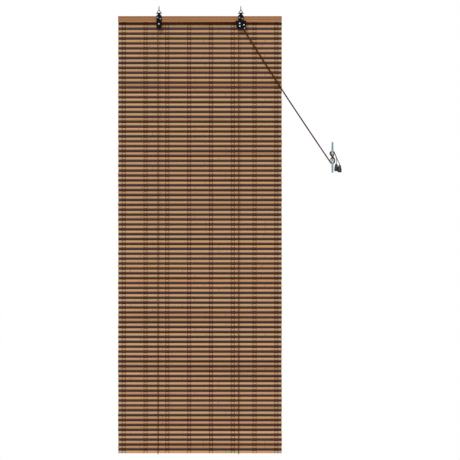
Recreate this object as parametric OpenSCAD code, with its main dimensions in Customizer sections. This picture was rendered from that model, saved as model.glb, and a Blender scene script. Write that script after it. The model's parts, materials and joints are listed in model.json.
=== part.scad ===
// Roll up blind: a woven bamboo mat on a wooden rail, hung by two hooks and lifted by two cords.
// Millimetres. X runs along the rail, Y points away from the room, Z is up.
// The origin is midway between the seats of the two hooks.

/* [Rail] */
// Width of the rail and of the mat
blind_w = 600; // [500:10:1000]
// Height of the rail
rail_h = 21.5; // [19:0.5:28]
// Depth of the rail
rail_t = 12; // [10:0.5:18]
// Radius of the rail's long edges
rail_edge_r = 2.5; // [1:0.5:4]

/* [Mat] */
// Number of pairs of one light and one dark slat
slat_rows = 89; // [40:1:110]
// Height of a light slat
light_slat_w = 9.8; // [7:0.1:12]
// Height of a dark slat
dark_slat_w = 7.15; // [5:0.05:10]
// Gap between two slats
slat_gap = 0.5; // [0.4:0.05:1]
// Thickness of a slat at its crown
slat_t = 3; // [2.6:0.1:4]
// Height of the round crown on a slat's front
slat_crown = 0.9; // [0.5:0.1:1.2]
// Thickness of the web that holds the slats together
web_t = 1; // [0.6:0.1:1.2]
// Depth of the groove between two slats at the back
back_groove = 0.6; // [0.3:0.1:0.8]
// Unslotted border at each side of the mat
side_margin = 14; // [8:1:30]
// Distance of the mat's top edge below the rail's top
mat_inset = 5.9; // [4:0.1:8]

/* [Warp threads] */
// Number of thread pairs
thread_pairs = 8; // [4:1:10]
// Distance of the outer thread pairs from the mat's sides
thread_margin = 20; // [12:1:60]
// Distance between the two threads of a pair
thread_spread = 11.8; // [6:0.2:16]
// Width of a thread
thread_w = 1.2; // [0.8:0.1:2]
// Thickness of a thread
thread_t = 0.5; // [0.3:0.1:0.8]

/* [Hooks] */
// Diameter of the hook wire
wire_d = 2.8; // [2:0.1:3]
// Radius of the hook's bend at the middle of the wire
bend_r = 5; // [4.5:0.1:7]
// Length of the hook's short leg below the bend
hook_tip = 3.8; // [2:0.1:5]
// Height from the bail's base bar to the hook's seat
hook_h = 24.5; // [23:0.1:30]
// Height of the bail
bail_h = 13; // [12:0.1:14]
// Width of the bail between the middles of its corners
bail_w = 18; // [17:0.5:24]
// Room round the base bar in the eye
eye_clearance = 0.08; // [0.05:0.01:0.1]

/* [Brackets] */
// Distance of each bracket from the middle of the rail
bracket_x = 150; // [100:5:200]
// Thickness of the bracket plates
plate_t = 1.5; // [1:0.1:2]
// Width of the rolled eye
eye_w = 9; // [6:0.5:9]
// Distance from the eye's middle down to the rail's top
eye_drop = 9.9; // [9:0.1:14]
// Width of a plate on the rail
plate_w = 19.5; // [18:0.5:24]
// Width of the lock's housing on the right
housing_w = 39; // [38:0.5:44]
// Distance of the plates' lower ends below the rail
plate_drop = 25.4; // [25:0.1:30]
// Height of the bend that brings the front plate forward
joggle_h = 5.5; // [5:0.1:6]
// Diameter of the screw shanks
screw_d = 3; // [2.5:0.1:3.4]
// Diameter of the screw heads
screw_head_d = 4.8; // [4.4:0.1:5.2]
// Length of a screw in the rail
screw_bite = 8; // [5:0.5:9]
// Room round a screw in the plates
screw_clearance = 0.2; // [0.1:0.05:0.3]

/* [Sheaves and lock] */
// Diameter of the lift cords
cord_d = 2; // [1.6:0.1:2]
// Radius of the cord's middle on a sheave
sheave_r = 4; // [4:0.1:4.2]
// Radius of a sheave's flanges
flange_r = 4.6; // [4.4:0.1:4.8]
// Width of a sheave
sheave_w = 4.4; // [4:0.1:5.4]
// Room between a sheave and the plate at each of its sides
sheave_clearance = 0.3; // [0.2:0.05:0.5]
// Diameter of the axles
axle_d = 3.2; // [2.4:0.1:3.4]
// Room round an axle in its sheave
axle_clearance = 0.06; // [0.03:0.01:0.1]
// Diameter of a rivet head
rivet_head_d = 5; // [4.4:0.1:5.4]
// Height of a rivet's round front head
rivet_head_h = 1.4; // [1:0.1:2]
// Height of a rivet's flat rear head
rivet_tail_h = 1; // [0.6:0.1:1.5]
// Radius of the lock cam at the tips of its teeth
cam_r = 6.4; // [5.6:0.1:6.5]
// Depth of the lock cam's teeth
cam_tooth = 0.7; // [0.4:0.1:1]
// Number of teeth on the lock cam
cam_teeth = 6; // [4:1:8]
// Diameter of the guide post
post_d = 3.2; // [2.4:0.1:3.6]

/* [Staples] */
// Thickness of the staple wire
staple_t = 0.9; // [0.6:0.1:1]
// Width of a staple on the mat
staple_w = 10; // [6:0.5:12]
// Length of a staple's legs in the rail
staple_bite = 5; // [3:0.5:7]
// Room round a staple's legs
staple_clearance = 0.1; // [0.05:0.05:0.15]

/* [Cleat] */
// Sideways distance of the cleat from the middle of the rail
cleat_x = 486; // [380:1:900]
// Distance of the cleat's middle below the hooks
cleat_drop = 552; // [300:1:900]
// Distance of the wall behind the hooks' seats
wall_y = 18; // [17.6:0.1:24]
// Length of the cleat over both horns
cleat_len = 114; // [100:1:130]
// Width of the cleat's horns at the middle
horn_w = 8.2; // [7:0.1:8.6]
// Width of a horn at its tip
horn_tip_w = 6.8; // [5:0.1:7]
// Thickness of the horns at the middle
horn_t = 7; // [6:0.1:7.2]
// Thickness of a horn at its tip
horn_tip_t = 5; // [3:0.1:6]
// How far the horn tips lean away from the wall
horn_lean = 1.5; // [0:0.1:4]
// Length of the foot
foot_len = 40; // [39:0.5:40]
// Width of the foot
foot_w = 9; // [8.8:0.1:9.2]
// Height of the foot
foot_h = 9; // [8.8:0.1:12]
// Distance between the two screw holes
hole_spacing = 31.5; // [26:0.5:32]
// Diameter of the screw holes
hole_d = 4.4; // [3.5:0.1:5]
// Diameter of the holes' countersinks at the front
sink_d = 7; // [6:0.1:7.4]

/* [Cord ends] */
// Length of a bell
bell_len = 27; // [22:0.5:30]
// Largest diameter of a bell
bell_d = 15.6; // [12:0.1:16]
// Diameter of a bell at its top
bell_top_d = 8.4; // [6:0.1:9]
// Thickness of a bell's top above its hollow
bell_crown = 7; // [5:0.5:10]
// Thickness of a bell's wall at its round mouth
bell_wall = 1.8; // [1.2:0.1:2.5]
// Diameter of the knots
knot_d = 5; // [4:0.1:5.6]

/* [Hidden] */
$fn = 48;
cord_sides = 8;
slat_steps = 4;
horn_steps = 10;
bell_steps = 6;
screw_head_h = 1.6;
slot_relief = 0.05;
joint_swell = 1.02;
cord_room = 0.2;
knot_gap = 0.02;
bell_lean_left = 0;
bell_lean_right = 1.5;
cord_slack = 6;

// How far a cut runs past a face, and how far joined shapes run into each other
cut_over = 1;
weld = 0.1;

// Bracket plates: slanted shoulders, the neck's start and the tongue's bend, from the rail's top
shoulder = 2;
shoulder_rise = 3.5;
neck_rise = 7.5;
tongue_inset = 1;
bend_drop = 12.6;

// Depths, front to back
rear_plate_front = -bend_r - plate_t / 2;
rail_front = rear_plate_front + plate_t;
rail_back = rail_front + rail_t;
mat_front = rail_back + thread_t;
mat_back = mat_front + slat_t;
mat_mid = (mat_front + mat_back) / 2;
sheave_gap = sheave_w + 2 * sheave_clearance;
sheave_y = rear_plate_front - sheave_gap / 2;
front_plate_back = rear_plate_front - sheave_gap;
front_plate_front = front_plate_back - plate_t;
tongue_front = rear_plate_front - plate_t;

// Heights, top to bottom
eye_z = -hook_h;
rail_top = eye_z - eye_drop;
rail_bottom = rail_top - rail_h;
plate_bottom = rail_bottom - plate_drop;
mat_top = rail_top - mat_inset;
slat_pitch = light_slat_w + dark_slat_w + 2 * slat_gap;
mat_bottom = mat_top - slat_rows * slat_pitch + slat_gap;
first_gap_z = mat_top - dark_slat_w - slat_gap / 2;
staple_z = first_gap_z;

// Radii
wire_r = wire_d / 2;
cord_r = cord_d / 2;
eye_bore_r = wire_r + eye_clearance;
eye_r = eye_bore_r + plate_t;
axle_r = axle_d / 2;
groove_r = sheave_r - cord_r - cord_room;
bell_bore_r = cord_r + cord_room;

// Screws, as [sideways, below the rail's top] from a bracket's middle
screw_spots = [[-5.3, 5.4], [5, 9.4]];

// Pivots, as [X, Z]
left_pivot = [-bracket_x, rail_bottom - 7.6];
upper_pivot = [bracket_x - 4.5, rail_bottom - 5.7];
lower_pivot = [bracket_x - 4, rail_bottom - 15.8];
cam_pivot = [bracket_x + 11.5, rail_bottom - 11];
post_spot = [bracket_x + 13.5, rail_bottom - 23.6];
left_pivots = [left_pivot];
right_pivots = [upper_pivot, lower_pivot, cam_pivot, post_spot];
post_corner_r = 4;
cam_angle = 207.4;
cam_spread = 56;
cam_hub_r = 3.4;

// Distance between two pairs of warp threads
thread_pitch = (blind_w - 2 * thread_margin) / (thread_pairs - 1);

// Staples along the mat's top edge, and over the upper ends of the two cords
staple_xs = [-240, -80, 0, 80, 240];
left_run_x = left_pivot[0] - sheave_r;
right_run_x = lower_pivot[0] - sheave_r;
cord_back_y = mat_back + 1.85;
cord_end_z = mat_top + 1;
cord_staple_w = cord_d + 2 * staple_t + 2 * cord_room;

// The cords' routes, as [X, Y, Z] points chosen by hand
// Round the mat's bottom edge, from the middle of the edge
bottom_turn = [[0, 4, 0.3], [0, 2.85, -2.5], [0, 0, -3.7], [0, -2.85, -2.5], [0, -4, 0.3]];
// Over a sheave, from its middle
left_turn = [[-4, 0, 0], [-3.5, 0, 2], [-2, 0, 3.5], [0, 0, 4]];
upper_turn = [[0, 0, 4], [2.1, 0, 3.4], [3.6, 0, 1.8]];
lower_turn = [[-4, 0, 0], [-3.3, 0, 2.3], [-1.3, 0, 3.8], [1.2, 0, 3.8], [3.4, 0, 2.2]];
// Out of the lock, from the upper sheave's middle
lock_exit = [[14.3, 0.2, -18.9]];
// The left cord on the cleat, from the cleat's middle, and down to its bell
left_wind = [
    [-4.9, 13.8, -18.7], [-2.6, 14, -20.8], [0.6, 14, -21.4], [3.6, 13.4, -20.2],
    [5.9, 11.5, -17], [7, 8, -13], [7, 4.6, -9], [5.9, 1.45, -5.8], [3, 0.6, -2.5],
    [-3, 0.6, 4.4], [-6.4, 1.5, 7.4], [-8.6, 5, 11], [-9.6, 9, 14.6], [-8, 12.4, 19],
    [-4.2, 14, 22.5], [0, 14, 23.6], [4, 13.2, 22.5], [7, 11.4, 19.4], [9, 9.6, 14.4],
    [12, 8.1, 5], [14.8, 7.5, -4], [15.9, 7.5, -10.6], [15.3, 7.5, -17]
];
// The right cord on the cleat, one figure of eight more, and down to its bell
right_wind = [
    [-6.8, 13.8, -19.9], [-3.6, 14, -22.8], [0.8, 14, -23.6], [5, 13.4, -21.9],
    [8, 11, -17.5], [9.2, 7.5, -12.5], [8.8, 4, -7.6], [7, 1.6, -3.6], [4.4, 0.6, -0.2],
    [-4, 0.6, 9.3], [-5.9, 1.9, 11.6], [-6.4, 5, 14], [-6, 9, 16.5], [-4.6, 12.5, 19.2],
    [-2.4, 13.9, 20.9], [0.6, 14, 21.4], [3.4, 13.2, 20.3], [5.7, 11, 17.6], [6.2, 7.5, 14],
    [5.9, 3, 10.6], [5, 0.2, 7.6], [3, -1.5, 4.6], [0, -2, 1], [-4.2, -1.2, -2.2],
    [-7.2, 1.2, -5.4], [-8.6, 4.4, -9.4], [-8.4, 8, -13.8], [-6.8, 10.6, -18.4],
    [-3.6, 11.2, -21.5], [0, 11.3, -22.5], [3.6, 10.8, -21.5], [6.4, 8.6, -18.6], [8.2, 5, -14.5],
    [8.6, 2, -10], [7, -0.8, -5.5], [2.4, -4.3, 0.2], [-0.5, -4.4, 3.4], [-5.8, -0.4, 9.4],
    [-8.8, 3, 12.6], [-9.2, 6.6, 15.6], [-7, 9.6, 18.8], [-3.8, 11, 21.5], [0, 11.3, 22.5],
    [3.6, 10.6, 21.5], [6.4, 8.4, 18.8], [9, 5.6, 14], [11.6, 3.2, 7.6], [17.2, -0.4, -6.6],
    [22, -3.2, -17], [25, -4.2, -22.8]
];
// The bells' top middles, from the cleat's middle
left_bell_top = [14.3, 7.5, -23.4];
right_bell_top = [26.3, -4.5, -28];

cleat_at = [cleat_x, 0, -cleat_drop];
left_route = concat(
    [[left_run_x, cord_back_y, cord_end_z], [left_run_x, cord_back_y, rail_bottom]],
    moved(bottom_turn, [left_run_x, mat_mid, mat_bottom]),
    moved(left_turn, pivot_at(left_pivot)),
    moved(upper_turn, pivot_at(upper_pivot)),
    moved(lock_exit, pivot_at(upper_pivot)),
    slack(pivot_at(upper_pivot) + lock_exit[0], cleat_at + left_wind[0]),
    moved(left_wind, cleat_at),
    bell_entry(left_bell_top, bell_lean_left)
);
right_route = concat(
    [[right_run_x, cord_back_y, cord_end_z], [right_run_x, cord_back_y, rail_bottom]],
    moved(bottom_turn, [right_run_x, mat_mid, mat_bottom]),
    moved(lower_turn, pivot_at(lower_pivot)),
    slack(pivot_at(lower_pivot) + lower_turn[4], cleat_at + right_wind[0]),
    moved(right_wind, cleat_at),
    bell_entry(right_bell_top, bell_lean_right)
);

// Places

function pivot_at(pivot) = [pivot[0], sheave_y, pivot[1]];
function moved(points, by) = [for (p = points) p + by];

// The point halfway along a cord that hangs a little slack
function slack(from, to) = [(from + to) / 2 - [0, 0, cord_slack]];

// Down a bell's axis, from above its top to the ceiling of its hollow
function bell_axis(lean) = [-sin(lean), 0, -cos(lean)];
function bell_entry(top, lean) = [
    for (depth = [-cord_d, bell_crown]) cleat_at + top + depth * bell_axis(lean)
];

// Swept tubes

function unit(v) = v / norm(v);
function tangent(route, i) =
    i == 0 ? unit(route[1] - route[0])
    : i == len(route) - 1 ? unit(route[i] - route[i - 1])
    : unit(unit(route[i + 1] - route[i]) + unit(route[i] - route[i - 1]));
function square_to(v, axis) = unit(v - (v * axis) * axis);
function side_vectors(route, i = 0, last = [1, 0, 0]) =
    i == len(route) ? []
    : let (v = square_to(last, tangent(route, i))) concat([v], side_vectors(route, i + 1, v));
function ring(middle, side, along, radius, sides) = [
    for (k = [0 : sides - 1])
        middle + radius * (cos(360 * k / sides) * side + sin(360 * k / sides) * cross(along, side))
];

module tube(route, radius, sides) {
    across = side_vectors(route);
    last = len(route) - 1;
    points = [
        for (i = [0 : last])
            each ring(route[i], across[i], tangent(route, i), radius, sides)
    ];
    walls = [
        for (i = [0 : last - 1], k = [0 : sides - 1])
            let (a = i * sides + k, b = i * sides + (k + 1) % sides)
            each [[a, a + sides, b + sides], [a, b + sides, b]]
    ];
    start_cap = [for (k = [0 : sides - 1]) k];
    end_cap = [for (k = [0 : sides - 1]) (last + 1) * sides - 1 - k];
    polyhedron(points, concat([start_cap], walls, [end_cap]));
}

// Shared shapes

// A profile drawn as [Y, Z], drawn out along X
module along_x(length) {
    rotate([90, 0, 90]) linear_extrude(height = length, center = true) children();
}

// An outline drawn as [X, Z], given a depth from front to back
module between(front, back) {
    translate([0, back, 0]) rotate([90, 0, 0]) linear_extrude(height = back - front) children();
}

// A cylinder along Y
module rod_y(spot, radius, front, back) {
    translate([spot[0], back, spot[1]]) rotate([90, 0, 0]) cylinder(h = back - front, r = radius);
}

// A straight length of wire with a round end at its far point
module wire(from, to) {
    run = to - from;
    translate(from)
        rotate([0, acos(run[2] / norm(run)), atan2(run[1], run[0])])
            cylinder(h = norm(run), r = wire_r);
    translate(to) sphere(r = wire_r * joint_swell);
}

// A rectangle with round corners, from its middle
module round_rectangle(width, height, radius) {
    square([width - 2 * radius, height], center = true);
    square([width, height - 2 * radius], center = true);
    for (x = [-1, 1], y = [-1, 1])
        translate([x * (width / 2 - radius), y * (height / 2 - radius)]) circle(r = radius);
}

// Rail, mat and threads

module head_rail() {
    color("peru") difference() {
        translate([0, (rail_front + rail_back) / 2, (rail_top + rail_bottom) / 2])
            along_x(blind_w) round_rectangle(rail_t, rail_h, rail_edge_r);
        for (side = [-1, 1], spot = screw_spots)
            rod_y([side * bracket_x + spot[0], rail_top - spot[1]], screw_d / 2,
                rail_front - cut_over, rail_front + screw_bite + cut_over);
        staple_holes();
    }
}

// Slats are counted from the top, even ones dark and odd ones light
function slat_h(i) = i % 2 == 0 ? dark_slat_w : light_slat_w;
function slat_top(i) = mat_top - floor(i / 2) * slat_pitch - (i % 2) * (dark_slat_w + slat_gap);
function slat_front(share) = mat_front + slat_crown * pow(2 * share - 1, 2);

module bamboo_mat() {
    last = 2 * slat_rows - 1;
    web_back = mat_back - back_groove;
    web_front = web_back - web_t;
    front_face = [
        for (i = [0 : last]) each concat(
            [for (j = [0 : slat_steps])
                [slat_front(j / slat_steps), slat_top(i) - slat_h(i) * j / slat_steps]],
            i == last ? []
                : [for (z = [slat_top(i) - slat_h(i), slat_top(i + 1)]) [web_front, z]]
        )
    ];
    back_face = [
        for (i = [last : -1 : 0]) each concat(
            [for (z = [slat_top(i) - slat_h(i), slat_top(i)]) [mat_back, z]],
            i == 0 ? []
                : [for (z = [slat_top(i), slat_top(i - 1) - slat_h(i - 1)]) [web_back, z]]
        )
    ];
    color("tan") difference() {
        along_x(blind_w) polygon(concat(front_face, back_face));
        for (row = [1 : slat_rows - 1])
            translate([0, mat_mid, slat_top(2 * row) + slat_gap / 2])
                cube([blind_w - 2 * side_margin, 2 * slat_t, slat_gap - 2 * slot_relief], center = true);
        staple_holes();
    }
}

module warp_threads() {
    outer_front = mat_front - thread_t;
    outer_back = mat_back + thread_t;
    outer_bottom = mat_bottom - thread_t;
    color("saddlebrown")
        for (pair = [0 : thread_pairs - 1], side = [-0.5, 0.5])
            translate([(pair - (thread_pairs - 1) / 2) * thread_pitch + side * thread_spread, 0, 0])
                along_x(thread_w) polygon([
                    [outer_front, mat_top], [outer_front, outer_bottom],
                    [outer_back, outer_bottom], [outer_back, mat_top],
                    [mat_back, mat_top], [mat_back, mat_bottom],
                    [mat_front, mat_bottom], [mat_front, mat_top]
                ]);
}

// Staples

// A leg of a staple, from its crown into the rail
module staple_leg(x, crown_back, room) {
    tip = rail_back - staple_bite - room;
    translate([x, (tip + crown_back) / 2, staple_z])
        cube([staple_t + 2 * room, crown_back - tip, staple_t + 2 * room], center = true);
}

module staple(x, width, crown_front) {
    crown_back = crown_front + staple_t;
    translate([x, (crown_front + crown_back) / 2, staple_z])
        cube([width, staple_t, staple_t], center = true);
    for (side = [-1, 1])
        staple_leg(x + side * (width - staple_t) / 2, crown_back, 0);
}

module staple_holes() {
    for (x = staple_xs, side = [-1, 1])
        staple_leg(x + side * (staple_w - staple_t) / 2, mat_back + staple_t, staple_clearance);
    for (x = [left_run_x, right_run_x], side = [-1, 1])
        staple_leg(x + side * (cord_staple_w - staple_t) / 2, mat_back + staple_t, staple_clearance);
}

module mat_staples() {
    color("silver") for (x = staple_xs) staple(x, staple_w, mat_back);
}

module cord_staples() {
    color("silver") for (x = [left_run_x, right_run_x])
        staple(x, cord_staple_w, cord_back_y + cord_r + cord_room / 2);
}

// A round knot, cut flat where the cord comes out of it
module knot(at, along) {
    translate(at)
        rotate([0, acos(along[2]), atan2(along[1], along[0])])
            intersection() {
                translate([0, 0, knot_d / 4]) sphere(d = knot_d);
                translate([-knot_d, -knot_d, 0]) cube(2 * knot_d);
            }
}

module cord_knots() {
    color("saddlebrown") for (x = [left_run_x, right_run_x])
        knot([x, cord_back_y, cord_end_z], [0, 0, 1]);
}

// Bracket plates

// Points along an arc, from one angle to another
function arc(middle, radius, from, to, steps = 16) = [
    for (k = [0 : steps])
        let (angle = from + (to - from) * k / steps)
        middle + radius * [cos(angle), sin(angle)]
];

// The part of a plate that lies on the rail, from the shoulders down to its round end
module plate_outline(top) {
    half = plate_w / 2;
    polygon(concat(
        [[-half, top - shoulder], [-half + shoulder, top], [half - shoulder, top], [half, top - shoulder]],
        arc([0, plate_bottom + half], half, 0, -180)
    ));
}

// The wide lower part of the right plates, round the lock
module housing_outline() {
    top = rail_bottom + 4.4;
    corner = 2;
    foot_z = plate_bottom - 2.2;
    foot_inset = 11.5;
    side_inset = 3;
    side_rise = 9;
    half = housing_w / 2;
    post = [post_spot[0] - bracket_x, post_spot[1]];
    polygon(concat(
        [[-half, top - corner], [-half + corner, top], [half - corner, top], [half, top - corner]],
        arc(post, post_corner_r, 0, -90, 8),
        [[-half + foot_inset, foot_z], [-half + side_inset, foot_z + side_rise]]
    ));
}

// The neck between the rolled eye and the shoulders
module neck_outline() {
    neck = eye_w / 2 - weld;
    spread = plate_w / 2 - shoulder;
    low = rail_top - cut_over;
    polygon([
        [-neck, eye_z], [neck, eye_z], [neck, rail_top + neck_rise], [spread, rail_top + shoulder_rise],
        [spread, low], [-spread, low], [-spread, rail_top + shoulder_rise], [-neck, rail_top + neck_rise]
    ]);
}

module screw_holes(front, back) {
    radius = screw_d / 2 + screw_clearance;
    for (spot = screw_spots)
        rod_y([spot[0], rail_top - spot[1]], radius, front - cut_over, back + cut_over);
}

module rivet_holes(pivots, front, back) {
    for (pivot = pivots)
        rod_y([pivot[0] - sign(pivot[0]) * bracket_x, pivot[1]], axle_r, front - cut_over, back + cut_over);
}

module rear_plate(pivots) {
    difference() {
        union() {
            between(rear_plate_front, rail_front) neck_outline();
            between(rear_plate_front, rail_front) plate_outline(rail_top + shoulder_rise);
            between(rear_plate_front, rail_front) children();
            translate([0, -bend_r, eye_z]) along_x(eye_w) circle(r = eye_r);
        }
        translate([0, -bend_r, eye_z]) along_x(eye_w + 2 * cut_over) circle(r = eye_bore_r);
        screw_holes(rear_plate_front, rail_front);
        rivet_holes(pivots, rear_plate_front, rail_front);
    }
}

// Lies on the rear plate at its top, and stands in front of the sheaves below
module front_plate(pivots) {
    tongue_top = rail_top - tongue_inset;
    bend_top = rail_top - bend_drop;
    bend_bottom = bend_top - joggle_h;
    low = post_spot[1] - 2 * post_corner_r;
    difference() {
        intersection() {
            union() {
                between(front_plate_front - cut_over, rail_front) plate_outline(tongue_top);
                between(front_plate_front - cut_over, rail_front) children();
            }
            along_x(2 * housing_w) polygon([
                [rear_plate_front, tongue_top + cut_over], [tongue_front, tongue_top + cut_over],
                [tongue_front, bend_top], [front_plate_front, bend_bottom],
                [front_plate_front, low], [front_plate_back, low],
                [front_plate_back, bend_bottom - plate_t / 2], [rear_plate_front, bend_top - plate_t / 2]
            ]);
        }
        screw_holes(tongue_front, rear_plate_front);
        rivet_holes(pivots, front_plate_front, front_plate_back);
    }
}

module plate_screws() {
    slot_share = 0.6;
    slot_w = 0.7;
    slot = [screw_head_d * slot_share, screw_head_h, slot_w];
    head_front = tongue_front - screw_head_h;
    for (spot = screw_spots) {
        place = [spot[0], rail_top - spot[1]];
        difference() {
            union() {
                rod_y(place, screw_head_d / 2, head_front, tongue_front);
                rod_y(place, screw_d / 2, tongue_front - weld, rail_front + screw_bite);
            }
            for (turn = [0, 90])
                translate([place[0], head_front, place[1]]) rotate([0, turn + 45, 0])
                    cube(slot, center = true);
        }
    }
}

module left_rear_plate() {
    color("#1c1b1d") translate([-bracket_x, 0, 0]) rear_plate(left_pivots);
}

module left_front_plate() {
    color("#1c1b1d") translate([-bracket_x, 0, 0]) front_plate(left_pivots);
}

module left_plate_screws() {
    color("dimgray") translate([-bracket_x, 0, 0]) plate_screws();
}

module right_rear_plate() {
    color("#1c1b1d") translate([bracket_x, 0, 0]) rear_plate(right_pivots) housing_outline();
}

module right_front_plate() {
    color("#1c1b1d") translate([bracket_x, 0, 0]) front_plate(right_pivots) housing_outline();
}

module right_plate_screws() {
    color("dimgray") translate([bracket_x, 0, 0]) plate_screws();
}

// Sheaves, rivets and lock

module rivet(pivot, radius) {
    head_r = rivet_head_d / 2;
    dome_r = (pow(head_r, 2) + pow(rivet_head_h, 2)) / (2 * rivet_head_h);
    rod_y(pivot, radius, front_plate_front - weld, rail_front + weld);
    rod_y(pivot, head_r, rail_front, rail_front + rivet_tail_h);
    intersection() {
        translate([pivot[0], front_plate_front - rivet_head_h + dome_r, pivot[1]]) sphere(r = dome_r);
        rod_y(pivot, rivet_head_d, front_plate_front - 2 * rivet_head_h, front_plate_front);
    }
}

// A grooved wheel, turned about Y
module sheave(pivot) {
    half = sheave_w / 2;
    bore_r = axle_r + axle_clearance;
    floor_half = cord_r * 0.7;
    mouth_half = half - 0.4;
    mouth_r = flange_r + cut_over;
    translate(pivot_at(pivot)) rotate([90, 0, 0]) rotate_extrude() difference() {
        translate([bore_r, -half]) square([flange_r - bore_r, sheave_w]);
        polygon([
            [groove_r, -floor_half], [groove_r, floor_half],
            [mouth_r, mouth_half], [mouth_r, -mouth_half]
        ]);
    }
}

module left_sheave() { color("whitesmoke") sheave(left_pivot); }
module upper_sheave() { color("whitesmoke") sheave(upper_pivot); }
module lower_sheave() { color("whitesmoke") sheave(lower_pivot); }
module left_sheave_rivet() { color("lightgray") rivet(left_pivot, axle_r); }
module upper_sheave_rivet() { color("lightgray") rivet(upper_pivot, axle_r); }
module lower_sheave_rivet() { color("lightgray") rivet(lower_pivot, axle_r); }
module lock_cam_rivet() { color("lightgray") rivet(cam_pivot, axle_r); }
module guide_post() { color("gray") rivet(post_spot, post_d / 2); }

// A toothed sector whose teeth face the cords
module lock_cam() {
    step = cam_spread / cam_teeth;
    first = cam_angle - cam_spread / 2;
    tips = [
        for (k = [0 : 2 * cam_teeth])
            let (radius = k % 2 == 1 ? cam_r : cam_r - cam_tooth, angle = first + k * step / 2)
            radius * [cos(angle), sin(angle)]
    ];
    heel = [for (turn = [90, -90]) cam_hub_r * [cos(cam_angle + turn), sin(cam_angle + turn)]];
    color("gainsboro") translate([cam_pivot[0], 0, cam_pivot[1]]) difference() {
        between(sheave_y - sheave_w / 2, sheave_y + sheave_w / 2) {
            circle(r = cam_hub_r);
            polygon(concat(tips, heel));
        }
        rod_y([0, 0], axle_r + axle_clearance, sheave_y - sheave_w, sheave_y + sheave_w);
    }
}

// Hooks

module hook() {
    bend_z = wire_r - bend_r;
    apex = [0, -bend_r, eye_z + bail_h];
    corners = [for (side = [-1, 1]) [side * bail_w / 2, -bend_r, eye_z]];
    translate([0, 0, bend_z]) rotate([90, 0, 90])
        rotate_extrude(angle = 180) translate([bend_r, 0]) circle(r = wire_r);
    wire([0, bend_r, bend_z], [0, bend_r, bend_z - hook_tip]);
    wire([0, -bend_r, bend_z], apex);
    for (corner = corners) wire(apex, corner);
    translate(corners[0]) rotate([0, 90, 0]) cylinder(h = bail_w, r = wire_r);
}

module left_hook() { color("darkgray") translate([-bracket_x, 0, 0]) hook(); }
module right_hook() { color("darkgray") translate([bracket_x, 0, 0]) hook(); }

// Cords

module left_lift_cord() { color("#4a2f1d") tube(left_route, cord_r, cord_sides); }
module right_lift_cord() { color("#4a2f1d") tube(right_route, cord_r, cord_sides); }

// Cleat

// The horns' front and back faces, by the distance from the cleat's middle
function horn_back(share) = wall_y - foot_h - (horn_lean + horn_t - horn_tip_t) * pow(share, 2);
function horn_front(share) = wall_y - foot_h - horn_t - horn_lean * pow(share, 2);

module horn_profile() {
    shares = [for (k = [-horn_steps : horn_steps]) k / horn_steps];
    polygon(concat(
        [for (s = shares) [horn_front(s), s * cleat_len / 2]],
        [for (k = [len(shares) - 1 : -1 : 0]) [horn_back(shares[k]), shares[k] * cleat_len / 2]]
    ));
}

module horn_outline() {
    tip_r = horn_tip_w / 2;
    tip_z = cleat_len / 2 - tip_r;
    polygon([
        [-tip_r, tip_z], [tip_r, tip_z], [horn_w / 2, 0],
        [tip_r, -tip_z], [-tip_r, -tip_z], [-horn_w / 2, 0]
    ]);
    for (side = [-1, 1]) translate([0, side * tip_z]) circle(r = tip_r);
}

module foot_outline() {
    end_z = (foot_len - foot_w) / 2;
    square([foot_w, 2 * end_z], center = true);
    for (side = [-1, 1]) translate([0, side * end_z]) circle(d = foot_w);
}

module cleat() {
    front = wall_y - foot_h - horn_t;
    sink_over = 0.2;
    sink_h = (sink_d - hole_d) / 2;
    color("lightsteelblue") translate(cleat_at) difference() {
        union() {
            intersection() {
                along_x(2 * horn_w) horn_profile();
                between(front - horn_lean - cut_over, wall_y) horn_outline();
            }
            between(wall_y - foot_h - horn_t / 3, wall_y) foot_outline();
        }
        for (side = [-1, 1]) {
            spot = [0, side * hole_spacing / 2];
            rod_y(spot, hole_d / 2, front - 2 * cut_over, wall_y + cut_over);
            translate([spot[0], front - sink_over, spot[1]]) rotate([-90, 0, 0])
                cylinder(h = sink_h + sink_over, d1 = sink_d + 2 * sink_over, d2 = hole_d);
        }
    }
}

// Bells on the cords' ends

// A bell's wall swells from its top to its mouth, which is rounded
module bell(top, lean) {
    mouth_r = bell_d / 2;
    top_r = bell_top_d / 2;
    bevel = 0.8;
    swell_h = bell_len - bevel - bell_wall;
    hollow_r = knot_d / 2 + 2 * cord_room;
    swell = [
        for (k = [0 : bell_steps - 1])
            [top_r + (mouth_r - top_r) * sin(90 * k / bell_steps), -bevel - swell_h * k / bell_steps]
    ];
    color("#2b2a2c") translate(cleat_at + top) rotate([0, lean, 0]) rotate_extrude() polygon(concat(
        [[bell_bore_r, 0], [top_r - bevel, 0]], swell,
        arc([mouth_r - bell_wall, bell_wall - bell_len], bell_wall, 0, -90, 4),
        [[hollow_r, -bell_crown], [bell_bore_r, -bell_crown]]
    ));
}

module bell_knot(top, lean) {
    along = bell_axis(lean);
    color("saddlebrown") knot(cleat_at + top + (bell_crown + knot_gap) * along, along);
}

module left_bell() { bell(left_bell_top, bell_lean_left); }
module right_bell() { bell(right_bell_top, bell_lean_right); }
module left_bell_knot() { bell_knot(left_bell_top, bell_lean_left); }
module right_bell_knot() { bell_knot(right_bell_top, bell_lean_right); }

head_rail();
bamboo_mat();
warp_threads();
mat_staples();
cord_staples();
cord_knots();
left_rear_plate();
left_front_plate();
left_plate_screws();
left_hook();
left_sheave();
left_sheave_rivet();
right_rear_plate();
right_front_plate();
right_plate_screws();
right_hook();
upper_sheave();
upper_sheave_rivet();
lower_sheave();
lower_sheave_rivet();
lock_cam();
lock_cam_rivet();
guide_post();
left_lift_cord();
right_lift_cord();
cleat();
left_bell();
right_bell();
left_bell_knot();
right_bell_knot();
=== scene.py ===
"""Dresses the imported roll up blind: woven bamboo, wooden rail, cords and cord gear, in a plain studio.

The frame is in metres: X runs along the rail, Y points away from the room and Z is up.
"""

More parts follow.
